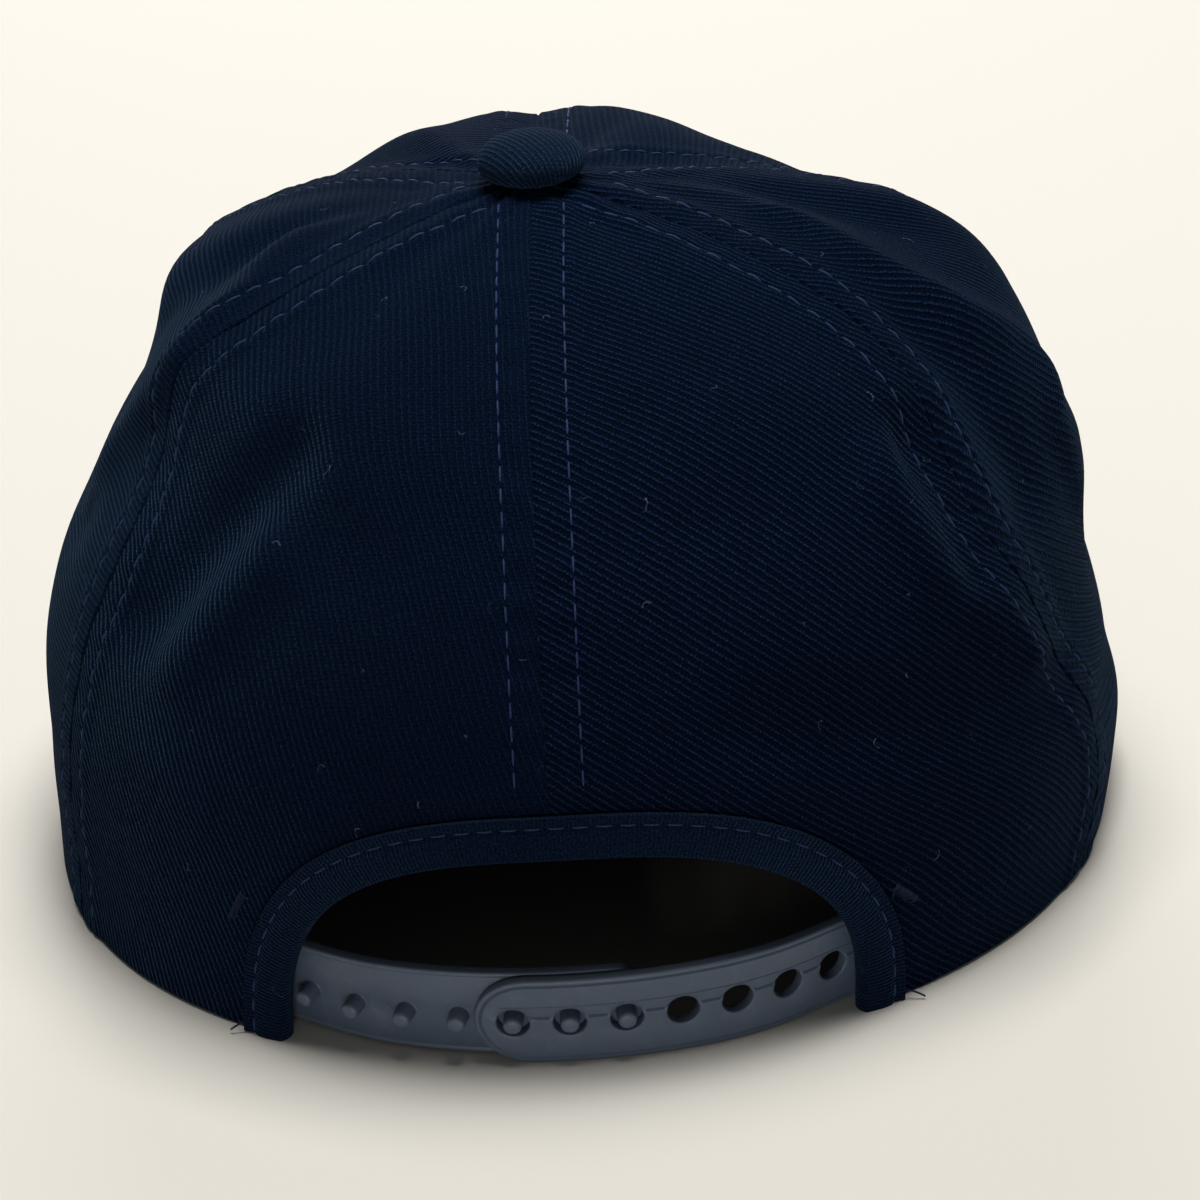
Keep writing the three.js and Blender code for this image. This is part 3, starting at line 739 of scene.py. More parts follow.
def cloth_place(name, angle, rise, twist=0.0):
    """Where a place on a panel lies on its flat cut, unrolled from its middle line and bent by a twist"""
    low, high = PANELS[name][:2]
    steps = np.linspace(0, 1, LINE_STEPS)
    middle = (seam_angle(low, steps) + seam_angle(high, steps)) / 2
    spine = plain_crown(middle, steps)
    run = length_run(spine)
    across = by_angle(plain_crown, middle, steps)
    normal = outward(plain_crown, middle, steps)
    heading = unit(np.gradient(spine, axis=0))
    bends = np.cumsum((np.gradient(heading, axis=0) * np.cross(normal, heading)).sum(-1))
    lean = np.arctan2((heading * np.cross(normal, across)).sum(-1), (heading * across).sum(-1))
    widths = np.polyfit(run, np.linalg.norm(across, axis=-1), CUT_FIT_DEGREE)
    width = np.polyval(widths, run)
    narrowing = -np.polyval(np.polyder(widths), run)
    turn = np.polyval(np.polyfit(run, bends, CUT_FIT_DEGREE), run) + math.radians(twist) * steps
    tilt = turn - np.polyval(np.polyfit(run, lean, CUT_FIT_DEGREE), run)
    start = np.interp(0.5, steps, tilt)
    x = np.cumsum(np.cos(turn - start) * np.gradient(run))
    y = np.cumsum(np.sin(turn - start) * np.gradient(run))
    off = angle - np.interp(rise, steps, middle)
    reach = off * np.interp(rise, steps, width)
    bow = np.interp(rise, steps, width * narrowing) * off**2 / 2
    c = np.cos(np.interp(rise, steps, tilt - start))
    s = np.sin(np.interp(rise, steps, tilt - start))
    sideways = np.interp(rise, steps, x) + reach * c - bow * s
    upwards = np.interp(rise, steps, y) + reach * s + bow * c
    return sideways, upwards


def turned(across, up, degrees):
    """Cloth places turned so that the ribs run along the second one"""
    c = math.cos(math.radians(degrees))
    s = math.sin(math.radians(degrees))
    return np.stack([across * c - up * s, across * s + up * c], axis=-1)


def shell_faces(rows, cols):
    """Faces of a closed shell between two matching grids"""
    index = np.arange(rows * cols).reshape(rows, cols)
    quads = np.stack([index[:-1, :-1], index[:-1, 1:], index[1:, 1:], index[1:, :-1]], axis=-1)
    quads = quads.reshape(-1, 4)
    shift = rows * cols
    rim = np.concatenate([index[0, :-1], index[:-1, -1], index[-1, :0:-1], index[:0:-1, 0]])
    after = np.roll(rim, -1)
    wall = np.stack([after, rim, rim + shift, after + shift], axis=-1)
    return np.concatenate([quads, quads[:, ::-1] + shift, wall])


def ring_faces(rings, sides):
    """Quads of a tube through rings, and its ends as polygons"""
    index = np.arange(rings * sides).reshape(rings, sides)
    after = np.roll(index, -1, axis=1)
    quads = np.stack([index[:-1], after[:-1], after[1:], index[1:]], axis=-1).reshape(-1, 4)
    return quads.tolist() + [index[0, ::-1].tolist(), index[-1].tolist()]


def make_piece(name, points, faces, finish, places=None, sharp_deg=50.0):
    """A mesh object in the row frame, from points in millimetres"""
    mesh = bpy.data.meshes.new(name)
    rows = faces.tolist() if isinstance(faces, np.ndarray) else faces
    mesh.from_pydata((np.asarray(points).reshape(-1, 3) * MM).tolist(), [], rows)
    mesh.polygons.foreach_set("use_smooth", np.ones(len(mesh.polygons), bool))
    mesh.set_sharp_from_angle(angle=math.radians(sharp_deg))
    if places is not None:
        corner = np.zeros(len(mesh.loops), np.int32)
        mesh.loops.foreach_get("vertex_index", corner)
        layer = mesh.uv_layers.new(name=CLOTH_MAP)
        layer.uv.foreach_set("vector", np.asarray(places, np.float32).reshape(-1, 2)[corner].ravel())
    mesh.materials.append(finish)
    mesh.update()
    piece = bpy.data.objects.new(name, mesh)
    bpy.context.scene.collection.objects.link(piece)
    return piece


def fasten(piece, slot, *nodes):
    """Seats a piece on the cap's one body, in place of its solid; the slot is not used"""
    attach(piece, "root")
    if nodes:
        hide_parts(*nodes)
    return piece


def stitches(points, normals, settings, phase=0.0):
    """Thread lying along a line of points as a row of short stitches"""
    run = length_run(points)
    pitch = settings.stitch_pitch / MM
    length = settings.stitch_length / MM
    radius = settings.thread_width / MM / 2
    starts = np.arange(phase * pitch, run[-1] - length, pitch)
    share = np.linspace(0, 1, STITCH_RINGS)
    at = starts[:, None] + length * share[None, :]
    place = np.stack([np.interp(at, run, points[:, k]) for k in range(3)], axis=-1)
    normal = unit(np.stack([np.interp(at, run, normals[:, k]) for k in range(3)], axis=-1))
    heading = unit(np.gradient(place, axis=1))
    side = unit(np.cross(heading, normal))
    bow = np.sin(math.pi * share)
    lift = radius * (STITCH_ARCH * bow**STITCH_ARCH_POWER - STITCH_SUNK)
    girth = radius * mix(STITCH_END, 1, bow)
    centre = place + normal * lift[None, :, None]
    turn = np.arange(STITCH_SIDES) * TAU / STITCH_SIDES
    ring = np.cos(turn)[:, None] * side[:, :, None, :] + np.sin(turn)[:, None] * normal[:, :, None, :]
    ring = centre[:, :, None, :] + ring * girth[None, :, None, None]
    one = ring_faces(STITCH_RINGS, STITCH_SIDES)
    corners = STITCH_RINGS * STITCH_SIDES
    faces = [[v + k * corners for v in face] for k in range(len(starts)) for face in one]
    return ring.reshape(-1, 3), faces


def tube(points, radius):
    """A thread along a line of points"""
    heading = unit(np.gradient(points, axis=0))
    side = unit(np.cross(heading, THREAD_ASKEW))
    other = np.cross(side, heading)
    turn = np.arange(THREAD_SIDES) * TAU / THREAD_SIDES
    ring = np.cos(turn)[:, None] * side[:, None, :] + np.sin(turn)[:, None] * other[:, None, :]
    return (points[:, None, :] + ring * radius).reshape(-1, 3), ring_faces(len(points), THREAD_SIDES)


def gathered(parts):
    """Several sets of points and faces as one"""
    points = []
    faces = []
    for some_points, some_faces in parts:
        shift = sum(len(p) for p in points)
        points.append(some_points)
        faces.extend([[v + shift for v in face] for face in some_faces])
    return np.concatenate(points), faces


class Wire:
    """A socket in a finish, with arithmetic that adds Math nodes"""

    def __init__(self, finish, socket):
        self.finish = finish
        self.socket = socket

    def out(self, name):
        """Another output of the same node"""
        return Wire(self.finish, self.socket.node.outputs[name])

    def maths(self, operation, *values):
        """A Math node on some values"""
        return self.finish.add("ShaderNodeMath", {"operation": operation}, dict(enumerate(values)))

    def __add__(self, other):
        return self.maths("ADD", self, other)

    def __radd__(self, other):
        return self.maths("ADD", other, self)

    def __sub__(self, other):
        return self.maths("SUBTRACT", self, other)

    def __rsub__(self, other):
        return self.maths("SUBTRACT", other, self)

    def __mul__(self, other):
        return self.maths("MULTIPLY", self, other)

    def __rmul__(self, other):
        return self.maths("MULTIPLY", other, self)

    def __truediv__(self, other):
        return self.maths("DIVIDE", self, other)

    def __pow__(self, other):
        return self.maths("POWER", self, other)

    def function(self, operation):
        """A maths function of this value alone"""
        return self.maths(operation, self)

    def wave(self):
        """A wave from 0 to 1 with its crests at whole numbers"""
        return (self * TAU).function("COSINE") * 0.5 + 0.5

    def between(self, low, high):
        """An eased step from 0 at low to 1 at high"""
        settings = {"interpolation_type": "SMOOTHSTEP"}
        return self.finish.add("ShaderNodeMapRange", settings, {0: self, 1: low, 2: high, 3: 0.0, 4: 1.0})


class Finish:
    """A material that is being made"""

    def __init__(self, name):
        self.material = bpy.data.materials.new(name)
        self.material.use_nodes = True
        self.tree = self.material.node_tree
        self.tree.nodes.clear()

    def add(self, kind, settings=None, inputs=None, out=0):
        """A node of some type, with its settings and the values or links of its sockets"""
        node = self.tree.nodes.new(kind)
        for key, value in (settings or {}).items():
            setattr(node, key, value)
        for key, value in (inputs or {}).items():
            if isinstance(value, Wire):
                self.tree.links.new(value.socket, node.inputs[key])
            else:
                node.inputs[key].default_value = value
        return Wire(self, node.outputs[out]) if node.outputs else None

    def object_place(self):
        """Places in the piece's own frame"""
        return self.add("ShaderNodeTexCoord", out="Object")

    def noise(self, place, scale, detail=2.0):
        """Cloudy values about one half"""
        return self.add("ShaderNodeTexNoise", None, {"Vector": place, "Scale": scale, "Detail": detail})

    def vector(self, operation, *values, out=0):
        """A sum on vectors"""
        return self.add("ShaderNodeVectorMath", {"operation": operation}, dict(enumerate(values)), out)

    def blend(self, share, a, b):
        """A mix of two colours"""
        return self.add("ShaderNodeMix", {"data_type": "RGBA"}, {0: share, 6: a, 7: b}, out=2)

    def bump(self, height, depth):
        """A normal raised by a height of 0 to 1, for a depth in metres"""
        return self.add("ShaderNodeBump", None, {"Height": height, "Strength": 1.0, "Distance": depth})

    def shade(self, **sockets):
        """The surface, from the sockets that are named"""
        named = {key.replace("_", " "): value for key, value in sockets.items()}
        surface = self.add("ShaderNodeBsdfPrincipled", None, named)
        self.add("ShaderNodeOutputMaterial", None, {"Surface": surface})
        return self.material


def opaque(colour, share=1.0):
    """A colour with full alpha, darkened by a share"""
    return (colour[0] * share, colour[1] * share, colour[2] * share, 1.0)


def lint(f, place):
    """Stray fibres that lie on the cloth as small open curls, here and there"""
    bend = f.noise(place, LINT_BEND_SCALE).out("Color")
    loose = f.vector("MULTIPLY_ADD", bend, LINT_BEND, place)
    inputs = {"Vector": loose, "Scale": 1 / LINT_SPACING}
    cells = f.add("ShaderNodeTexVoronoi", {"voronoi_dimensions": "2D"}, inputs, out="Position")
    off = f.vector("SUBTRACT", loose, cells)
    away = f.vector("LENGTH", off, out="Value")
    side = f.add("ShaderNodeSeparateXYZ", None, {0: off})
    draw = f.add("ShaderNodeSeparateColor", None, {0: cells.out("Color")})
    turn = draw.out("Green") * TAU
    facing = side * turn.function("COSINE") + side.out("Y") * turn.function("SINE")
    from_curl = away - (draw.out("Blue") * LINT_CURL_MORE + LINT_CURL_LEAST)
    curl = 1 - from_curl.function("ABSOLUTE").between(*LINT_FIBRE)
    return curl * facing.between(*LINT_CURL_GAP) * draw.between(*LINT_CHANCE)


def twill_finish(name, settings, rib_colour, painted_rib_light, pitch=1.0, wander=0.8, lint_share=1.0):
    """Heavy cotton twill: raised ribs of short floats with painted highlight on their crests and painted
    shade between them, uneven yarn, a little fading and stray fibres
    """
    f = Finish(name)
    place = f.add("ShaderNodeUVMap", {"uv_map": CLOTH_MAP})
    across = f.add("ShaderNodeSeparateXYZ", None, {0: place})
    along = across.out("Y")
    drift = f.noise(place, DRIFT_SCALE)
    slub = f.noise(place, SLUB_SCALE, detail=3.0)
    fuzz = f.noise(place, FUZZ_SCALE)
    spacing = settings.twill_pitch / MM * pitch
    ribs = across / spacing + drift * wander + slub * RIB_UNEVEN
    rib = ribs.wave()
    # The ribs' colour against the ground is partly the yarn's own and partly painted: painted highlight on
    # the crests and painted shade in the ground between the ribs
    crest = rib**RIB_CREST
    floats = (along / FLOAT_LENGTH + ribs * FLOAT_STAGGER + slub * FLOAT_UNEVEN).wave()
    height = rib**2.0 * RIB_HEIGHT + floats * FLOAT_HEIGHT + fuzz * FUZZ_HEIGHT
    fading = f.noise(place, FADING_SCALE, detail=3.0)
    raised = crest * (floats * FLOAT_SHOW + (1 - FLOAT_SHOW))
    # Painted light: each piece's share sets how strongly the painted highlight and shade show on its ribs,
    # for how the light catches ribs at its slant, and darkens the ground between them with it
    yarn = raised * (RIB_SHOW * painted_rib_light) + (PLAIN_TONE - PLAIN_TONE_LOSS * painted_rib_light)
    worn = fading * FADING_MORE + FADING_LEAST
    tone = yarn * worn * (fuzz.between(*FUZZ_BAND) * FUZZ_MORE + FUZZ_LEAST)
    colour = f.blend(tone, opaque(settings.cloth_colour), opaque(rib_colour))
    colour = f.blend(lint(f, place) * lint_share * LINT_SHOW, colour, opaque(settings.lint_colour))
    return f.shade(
        Base_Color=colour,
        Roughness=0.95 - rib * 0.1,
        Specular_IOR_Level=0.005,
        Sheen_Weight=0.05,
        Sheen_Roughness=0.3,
        Sheen_Tint=opaque(settings.sheen_colour),
        Normal=f.bump(height, settings.twill_depth),
    )


def thread_finish(name, colour):
    """Twisted thread, a little glossier than the cloth"""
    f = Finish(name)
    place = f.object_place()
    fuzz = f.noise(place, THREAD_FUZZ_SCALE)
    tone = f.blend(fuzz, *(opaque(colour, share) for share in THREAD_TONES))
    return f.shade(
        Base_Color=tone,
        Roughness=0.78 - fuzz * 0.14,
        Specular_IOR_Level=0.08,
        Normal=f.bump(fuzz, THREAD_FUZZ_DEPTH),
    )


def plastic_finish(name, settings):
    """Matt moulded plastic with a fine grain, faint flow marks and rubbed places"""
    f = Finish(name)
    place = f.object_place()
    grain = f.noise(place, GRAIN_SCALE, detail=3.0)
    flow = f.noise(place, FLOW_SCALE, detail=3.0)
    rubbed = f.noise(place, RUBBED_SCALE, detail=4.0).between(*RUBBED_BAND)
    tone = grain * GRAIN_SHARE + flow * (1 - GRAIN_SHARE)
    colour = f.blend(tone, *(opaque(settings.plastic_colour, share) for share in PLASTIC_TONES))
    colour = f.blend(rubbed * RUBBED_SHOW, colour, opaque(settings.plastic_colour, RUBBED_TONE))
    return f.shade(
        Base_Color=colour,
        Roughness=settings.plastic_roughness + grain * 0.12 - rubbed * 0.06,
        Specular_IOR_Level=0.42,
        Normal=f.bump(grain * GRAIN_BUMP_SHARE + flow * (1 - GRAIN_BUMP_SHARE), GRAIN_DEPTH),
    )


def floor_finish(name, colour):
    """Plain pale paper"""
    f = Finish(name)
    tooth = f.noise(f.object_place(), FLOOR_TOOTH_SCALE, detail=3.0)
    tone = f.blend(tooth, opaque(colour, FLOOR_TONE), opaque(colour))
    return f.shade(Base_Color=tone, Roughness=0.85, Specular_IOR_Level=0.2)


def size_setting(name, description, default):
    """A size in metres that a user can change"""
    return FloatProperty(name=name, description=description, default=default, unit="LENGTH", precision=5)


def colour_setting(name, description, default):
    """A colour that a user can change"""
    return FloatVectorProperty(name=name, description=description, default=default, subtype="COLOR")


def power_setting(name, description, default):
    """A light's power that a user can change"""
    return FloatProperty(name=name, description=description, default=default, unit="POWER")


def share_setting(name, description, default):
    """A share from 0 to 1 that a user can change"""
    return FloatProperty(
        name=name, description=description, default=default, subtype="FACTOR", min=0.0, max=1.0
    )


class CapCloth(bpy.types.PropertyGroup):
    """Sizes and colours of the cloth and its thread"""

    twill_pitch: size_setting("Rib Pitch", "From one twill rib to the next", 0.00124)
    twill_depth: size_setting("Rib Depth", "How far the ribs stand up", 0.00042)
    ripple: size_setting("Ripple", "Height of the cloth's slow ripples", 0.00035)
    row_offset: size_setting("Row Offset", "From a seam to each stitch row", 0.0055)
    stitch_pitch: size_setting("Stitch Pitch", "From one stitch to the next", 0.00385)
    stitch_length: size_setting("Stitch Length", "Thread that shows in a stitch", 0.0031)
    thread_width: size_setting("Thread Width", "Thickness of the thread", 0.00038)
    # Cloth and Ribs give the twill's colour with painted shade between the ribs and painted highlight on
    # them
    cloth_colour: colour_setting("Cloth", "Colour between the ribs", (0.0003, 0.0008, 0.0024))
    rib_colour: colour_setting("Ribs", "Colour of the ribs", (0.0095, 0.0235, 0.069))
    tape_colour: colour_setting("Tape", "Colour of the binding's ribs", (0.0165, 0.037, 0.096))
    # Painted light: the button's rib colour is lighter than the crown's, for the light that falls on the
    # top of the cap
    button_painted_light_colour: colour_setting("Button", "Colour of the button's ribs", (0.024, 0.054, 0.118))
    thread_colour: colour_setting("Thread", "Colour of the topstitching", (0.016, 0.028, 0.078))
    sheen_colour: colour_setting("Sheen", "Tint of the cloth's nap", (0.3, 0.62, 1.0))
    lint_colour: colour_setting("Lint", "Colour of stray fibres", (0.25, 0.32, 0.42))


class CapStrap(bpy.types.PropertyGroup):
    """Sizes and colour of the snap strap"""

    edge_round: size_setting("Edge Round", "Radius of the strap's edges", 0.00045)
    border_depth: size_setting("Border Depth", "Depth of the line inside the edge", 0.00036)
    plastic_colour: colour_setting("Plastic", "Colour of the strap", (0.055, 0.074, 0.109))
    plastic_roughness: share_setting("Roughness", "Roughness of the plastic", 0.46)


class CapStage(bpy.types.PropertyGroup):
    """Floor and light"""

    floor_colour: colour_setting("Floor", "Colour of the floor", (0.51, 0.495, 0.459))
    top_power: power_setting("Top Light", "Power of the light overhead", 42.0)
    fill_power: power_setting("Fill Light", "Power of the light at the back", 8.5)
    back_power: power_setting("Back Light", "Power of the light in front", 16.0)
    ambient: FloatProperty(name="Ambient", description="Strength of the even light", default=0.08, min=0.0)


class CAP_OT_panels(bpy.types.Operator):
    """Build the six cloth panels of the crown"""

    bl_idname = "cap.panels"
    bl_label = "Crown Panels"

    def execute(self, context):
        settings = context.scene.cap_cloth
        for name, (_, _, heading, twist, painted_rib_light) in PANELS.items():
            finish = twill_finish(name.replace("panel", "navy_twill"), settings, settings.rib_colour, painted_rib_light)
            angle, rise = panel_places(name)
            hem = np.maximum(HEM_ROUND - rise * RIM_HEIGHT_PER_RISE, 0.0)
            tucked = HEM_ROUND - np.sqrt(HEM_ROUND**2 - hem**2)
            normal = wall_normal(angle, rise)
            relief = cloth_relief(angle, rise, settings) - tucked
            face = crown(angle, rise)
            outer = face + normal * relief[..., None]
            inner = face + normal * (tucked - wall_at(angle, rise))[..., None]
            places = turned(*cloth_place(name, angle, rise, twist), heading)
            points = np.concatenate([outer.reshape(-1, 3), inner.reshape(-1, 3)])
            both = np.concatenate([places.reshape(-1, 2), places.reshape(-1, 2)])
            piece = make_piece(name + "_cloth", points, shell_faces(*angle.shape), finish, both)
            fasten(piece, "crown_cloth", name)
            across, up = cloth_place(name, angle, rise)
        return {"FINISHED"}


def rings_round(radius, height, turn):
    """Rings of points round an upright axis"""
    z = np.broadcast_to(height[:, None], radius.shape)
    return np.stack([radius * np.cos(turn), radius * np.sin(turn), z], axis=-1)


class CAP_OT_button(bpy.types.Operator):
    """Build the cloth-covered button on top"""

    bl_idname = "cap.button"
    bl_label = "Button"

    def execute(self, context):
        settings = context.scene.cap_cloth
        share = np.linspace(0, 1, BUTTON_ROWS)
        turn = np.arange(BUTTON_SIDES) * TAU / BUTTON_SIDES
        radius = np.maximum(curve_through(BUTTON_FORM["radius"], share), BUTTON_POLE) * BUTTON_RADIUS
        height = curve_through(BUTTON_FORM["height"], share) * BUTTON_HEIGHT + BUTTON_SEAT
        wander = BUTTON_PLEAT_WANDER * np.sin(BUTTON_PLEAT_WANDERS * turn)
        pleat = np.sin(BUTTON_PLEATS * turn + wander)
        low = (1 - share) ** 2
        wide = radius[:, None] + BUTTON_PLEAT_HEIGHT * low[:, None] * pleat[None, :]
        stem_height = np.array([BUTTON_SEAT - BUTTON_STEM_DEPTH, BUTTON_SEAT])
        stem = rings_round(np.full((2, BUTTON_SIDES), BUTTON_STEM_RADIUS), stem_height, turn)
        rings = np.concatenate([stem, rings_round(wide, height, turn)]) + TOP_SHIFT
        steps = np.hypot(np.diff(radius), np.diff(height))
        reach = np.concatenate([np.cumsum(steps[::-1])[::-1], [0.0]])
        reach = np.concatenate([reach[0] + BUTTON_STEM_CLOTH, reach])[:, None]
        places = turned(reach * np.cos(turn), reach * np.sin(turn), BUTTON_RIB_DEG)
        # Painted light: the button takes the lighter button rib colour, for the light on its top
        finish = twill_finish(
            "navy_twill_button",
            settings,
            settings.button_painted_light_colour,
            painted_rib_light=0.5,
            pitch=0.8,
            wander=0.2,
            lint_share=0.4,
        )
        piece = make_piece("button_cover", rings, ring_faces(len(rings), BUTTON_SIDES), finish, places)
        fasten(piece, "crown_cloth", "button")
        return {"FINISHED"}


def tape_frame():
    """Places along the opening's edge, and how far a millimetre into the cloth moves angle and rise"""
    k = np.linspace(-1, 1, TAPE_STEPS + 1)
    fraction = np.abs(k)
    side = np.where(k < 0, -1.0, 1.0)
    angle, rise = arch_edge(fraction)
    angle = angle * side
    normal = outward(crown, angle, rise)
    across = by_angle(crown, angle, rise)
    low = np.maximum(rise - NUDGE, 0)
    up = (crown(angle, rise + NUDGE) - crown(angle, low)) / (rise + NUDGE - low)[:, None]
    before = arch_edge(np.maximum(fraction - NUDGE, 0))
    after = arch_edge(np.minimum(fraction + NUDGE, 1))
    run_across = across * (after[0] - before[0])[:, None]
    run_up = up * ((after[1] - before[1]) * side)[:, None]
    into = np.cross(normal, unit(run_across + run_up))
    aa = (across * across).sum(-1)
    ab = (across * up).sum(-1)
    bb = (up * up).sum(-1)
    ia = (into * across).sum(-1)
    ib = (into * up).sum(-1)
    det = aa * bb - ab * ab
    return angle, rise, (ia * bb - ib * ab) / det, (ib * aa - ia * ab) / det


def tape_face(width):
    """How far the tape's outer face stands off the cloth at a width from the opening's edge"""
    roll = TAPE_PUFF * np.sin(math.pi * clamp(width / TAPE_ROW))
    dip = TAPE_ROW_DIP * bell(width - TAPE_ROW, TAPE_ROW_SPREAD)
    lip = TAPE_LIP * smooth(width, TAPE_LIP_FROM, TAPE_LIP_FULL)
    return TAPE_GAP + TAPE + roll - dip + lip


def tape_section(back):
    """The folded tape's outline as widths and depths, going round once"""
    outer = np.linspace(TAPE_OUTER_WIDTH - TAPE_EDGE_IN, -TAPE_GAP, TAPE_OUTER_STEPS)
    turn = np.linspace(0, math.pi, TAPE_TURN_STEPS)[1:-1]
    inner = np.linspace(-TAPE_GAP, TAPE_INNER_WIDTH, TAPE_INNER_STEPS)
    middle = (TAPE_GAP + TAPE + back - TAPE) / 2
    half = (TAPE_GAP + TAPE - back + TAPE) / 2
    parts = (
        (outer, tape_face(outer)),
        (-TAPE_GAP - TAPE * np.sin(turn), middle + half * np.cos(turn)),
        (inner, np.full(len(inner), back - TAPE)),
        (inner[::-1], np.full(len(inner), back)),
        (outer[::-1], np.full(len(outer), TAPE_GAP)),
        ([TAPE_OUTER_WIDTH], [TAPE_GAP + TAPE * TAPE_EDGE_SHARE]),
    )
    return (np.concatenate(column) for column in zip(*parts))


class CAP_OT_binding(bpy.types.Operator):
    """Build the folded tape round the rear opening"""

    bl_idname = "cap.binding"
    bl_label = "Opening Binding"

    def execute(self, context):
        settings = context.scene.cap_cloth
        angle, rise, per_angle, per_rise = tape_frame()
        back = -WALL - TAPE_GAP
        width, depth = tape_section(back)
        a = angle[:, None] + per_angle[:, None] * width[None, :]
        r = rise[:, None] + per_rise[:, None] * width[None, :]
        hem = (wall_at(angle, rise) - WALL)[:, None] * (depth < 0)[None, :]
        rings = offset_crown(a, r, depth[None, :] - hem)
        run = length_run(crown(angle, rise))
        girth = length_run(np.stack([width, depth], axis=-1))
        places = np.stack(np.broadcast_arrays(run[:, None], girth[None, :]), axis=-1)
        finish = twill_finish(
            "navy_tape", settings, settings.tape_colour, painted_rib_light=0.35, pitch=0.54, wander=0.3, lint_share=0.7
        )
        faces = [face[::-1] for face in ring_faces(len(rings), len(width))]
        piece = make_piece("arch_binding_tape", rings, faces, finish, places)
        fasten(piece, "binding_tape", "arch_binding")
        return {"FINISHED"}


def peak_lines(count):
    """The peak's root and outer edge at matching places from side to side"""
    share = np.linspace(-1, 1, count)
    angle = math.pi - share * math.radians(180 - PEAK_ROOT_DEG)
    turn = share * math.radians(PEAK_SIDE_DEG)
    reach = np.where(np.cos(turn) > 0, PEAK_REACH, PEAK_SIDE_REACH)
    edge = np.stack(
        [
            PEAK_MIDDLE_X + PEAK_HALF_WIDTH * rounded(np.sin(turn), PEAK_POWER),
            PEAK_MIDDLE_Y + reach * rounded(np.cos(turn), PEAK_POWER),
            PEAK_TIP_LIFT * np.maximum(np.cos(turn), 0) ** 2,
        ],
        axis=-1,
    )
    root = offset_crown(angle, np.zeros(count), np.full(count, PEAK_GAP))
    return root, edge


def peak_rows():
    """Distance of each stitch row from the peak's edge"""
    return PEAK_ROW_FIRST + PEAK_ROW_STEP * np.arange(PEAK_ROW_COUNT)


def peak_point(root, edge, inward, top):
    """A point on the peak's upper or lower face, a distance in from its edge"""
    span = np.linalg.norm(edge - root, axis=-1)[:, None]
    share = clamp(1 - inward / span)
    base = root[:, None, :] + (edge - root)[:, None, :] * share[..., None]
    half = PEAK_THICK / 2
    near = clamp(inward / half)
    thick = half * np.sqrt(1 - (1 - near) ** 2)
    dip = sum(bell(inward - row, PEAK_ROW_SPREAD) for row in peak_rows()) * PEAK_ROW_DIP
    rise = half + (1 if top else -1) * (thick - dip * near)
    return base + UP * rise[..., None]


class CAP_OT_peak(bpy.types.Operator):
    """Build the curved peak"""

    bl_idname = "cap.peak"
    bl_label = "Peak"

    def execute(self, context):
        settings = context.scene.cap_cloth
        root, edge = peak_lines(PEAK_COLUMNS)
        span = np.linalg.norm(edge - root, axis=-1)[:, None]
        share = np.concatenate([PEAK_EDGE_SHARES, PEAK_FACE_SHARES])
        inward = (share[None, :] * span)[:, ::-1]
        top = peak_point(root, edge, inward, True).transpose(1, 0, 2)
        bottom = peak_point(root, edge, inward, False).transpose(1, 0, 2)
        points = np.concatenate([top.reshape(-1, 3), bottom.reshape(-1, 3)])
        places = turned(points[:, 0], points[:, 1], PEAK_RIB_DEG)
        finish = twill_finish("navy_twill_peak", settings, settings.rib_colour, painted_rib_light=0.5, lint_share=0.7)
        piece = make_piece("peak_cloth_cover", points, shell_faces(*top.shape[:2]), finish, places)
        fasten(piece, "peak_cloth", "peak")
        return {"FINISHED"}


def strap_point(turn, height, depth):
    """A point on the leaning strap: turn round its centre, height up it and depth out of its inner face"""
    lean = math.radians(STRAP_LEAN_DEG)
    most = np.where(turn < 0, STRAP_TUCK_LEFT, STRAP_TUCK_RIGHT)
    tuck = most * bell(np.abs(turn) - math.radians(STRAP_TUCK_DEG), math.radians(STRAP_TUCK_SPREAD_DEG))
    radius = STRAP_RADIUS - tuck + depth * math.cos(lean) + height * math.sin(lean)
    low = STRAP_FLOOR_CLEAR + 2 * STRAP_THICK * math.sin(lean)
    z = low + height * math.cos(lean) - depth * math.sin(lean)
    return np.stack([radius * np.sin(turn), STRAP_MIDDLE_Y - radius * np.cos(turn), z], axis=-1)


def along_strap(step):
    """Place along the flat strap, a number of snaps from its middle"""
    return math.radians(SNAP_MIDDLE_DEG + step * SNAP_STEP_DEG) * STRAP_RADIUS


def snap_centres(first):
    """Middles of the snaps of one half on the flat strap"""
    return [(along_strap(first + k), SNAP_HEIGHT) for k in range(SNAP_COUNT)]


def strap_outline(square, tip, inset):
    """A loop round a strap with one square and one full-round end, a distance in from its edge"""
    half = STRAP_HEIGHT / 2
    sense = math.copysign(1.0, tip - square)
    centre = tip - sense * half
    count = max(int(abs(centre - square) / STRAP_COLUMN), 2)
    straight = np.linspace(square, centre, count)
    bend = np.linspace(-math.pi / 2, math.pi / 2, STRAP_TIP_STEPS)[1:-1]
    along = np.concatenate([straight, centre + sense * (half - inset) * np.cos(bend), straight[::-1]])
    low = np.full(count, inset)
    up = np.concatenate([low, half + (half - inset) * np.sin(bend), STRAP_HEIGHT - low])
    return np.stack([along, up], axis=-1)


def circle(centre, radius, sides=PEG_SIDES):
    """A loop round a snap on the flat strap"""
    turn = np.arange(sides) * TAU / sides
    return np.stack([centre[0] + radius * np.cos(turn), centre[1] + radius * np.sin(turn)], axis=-1)


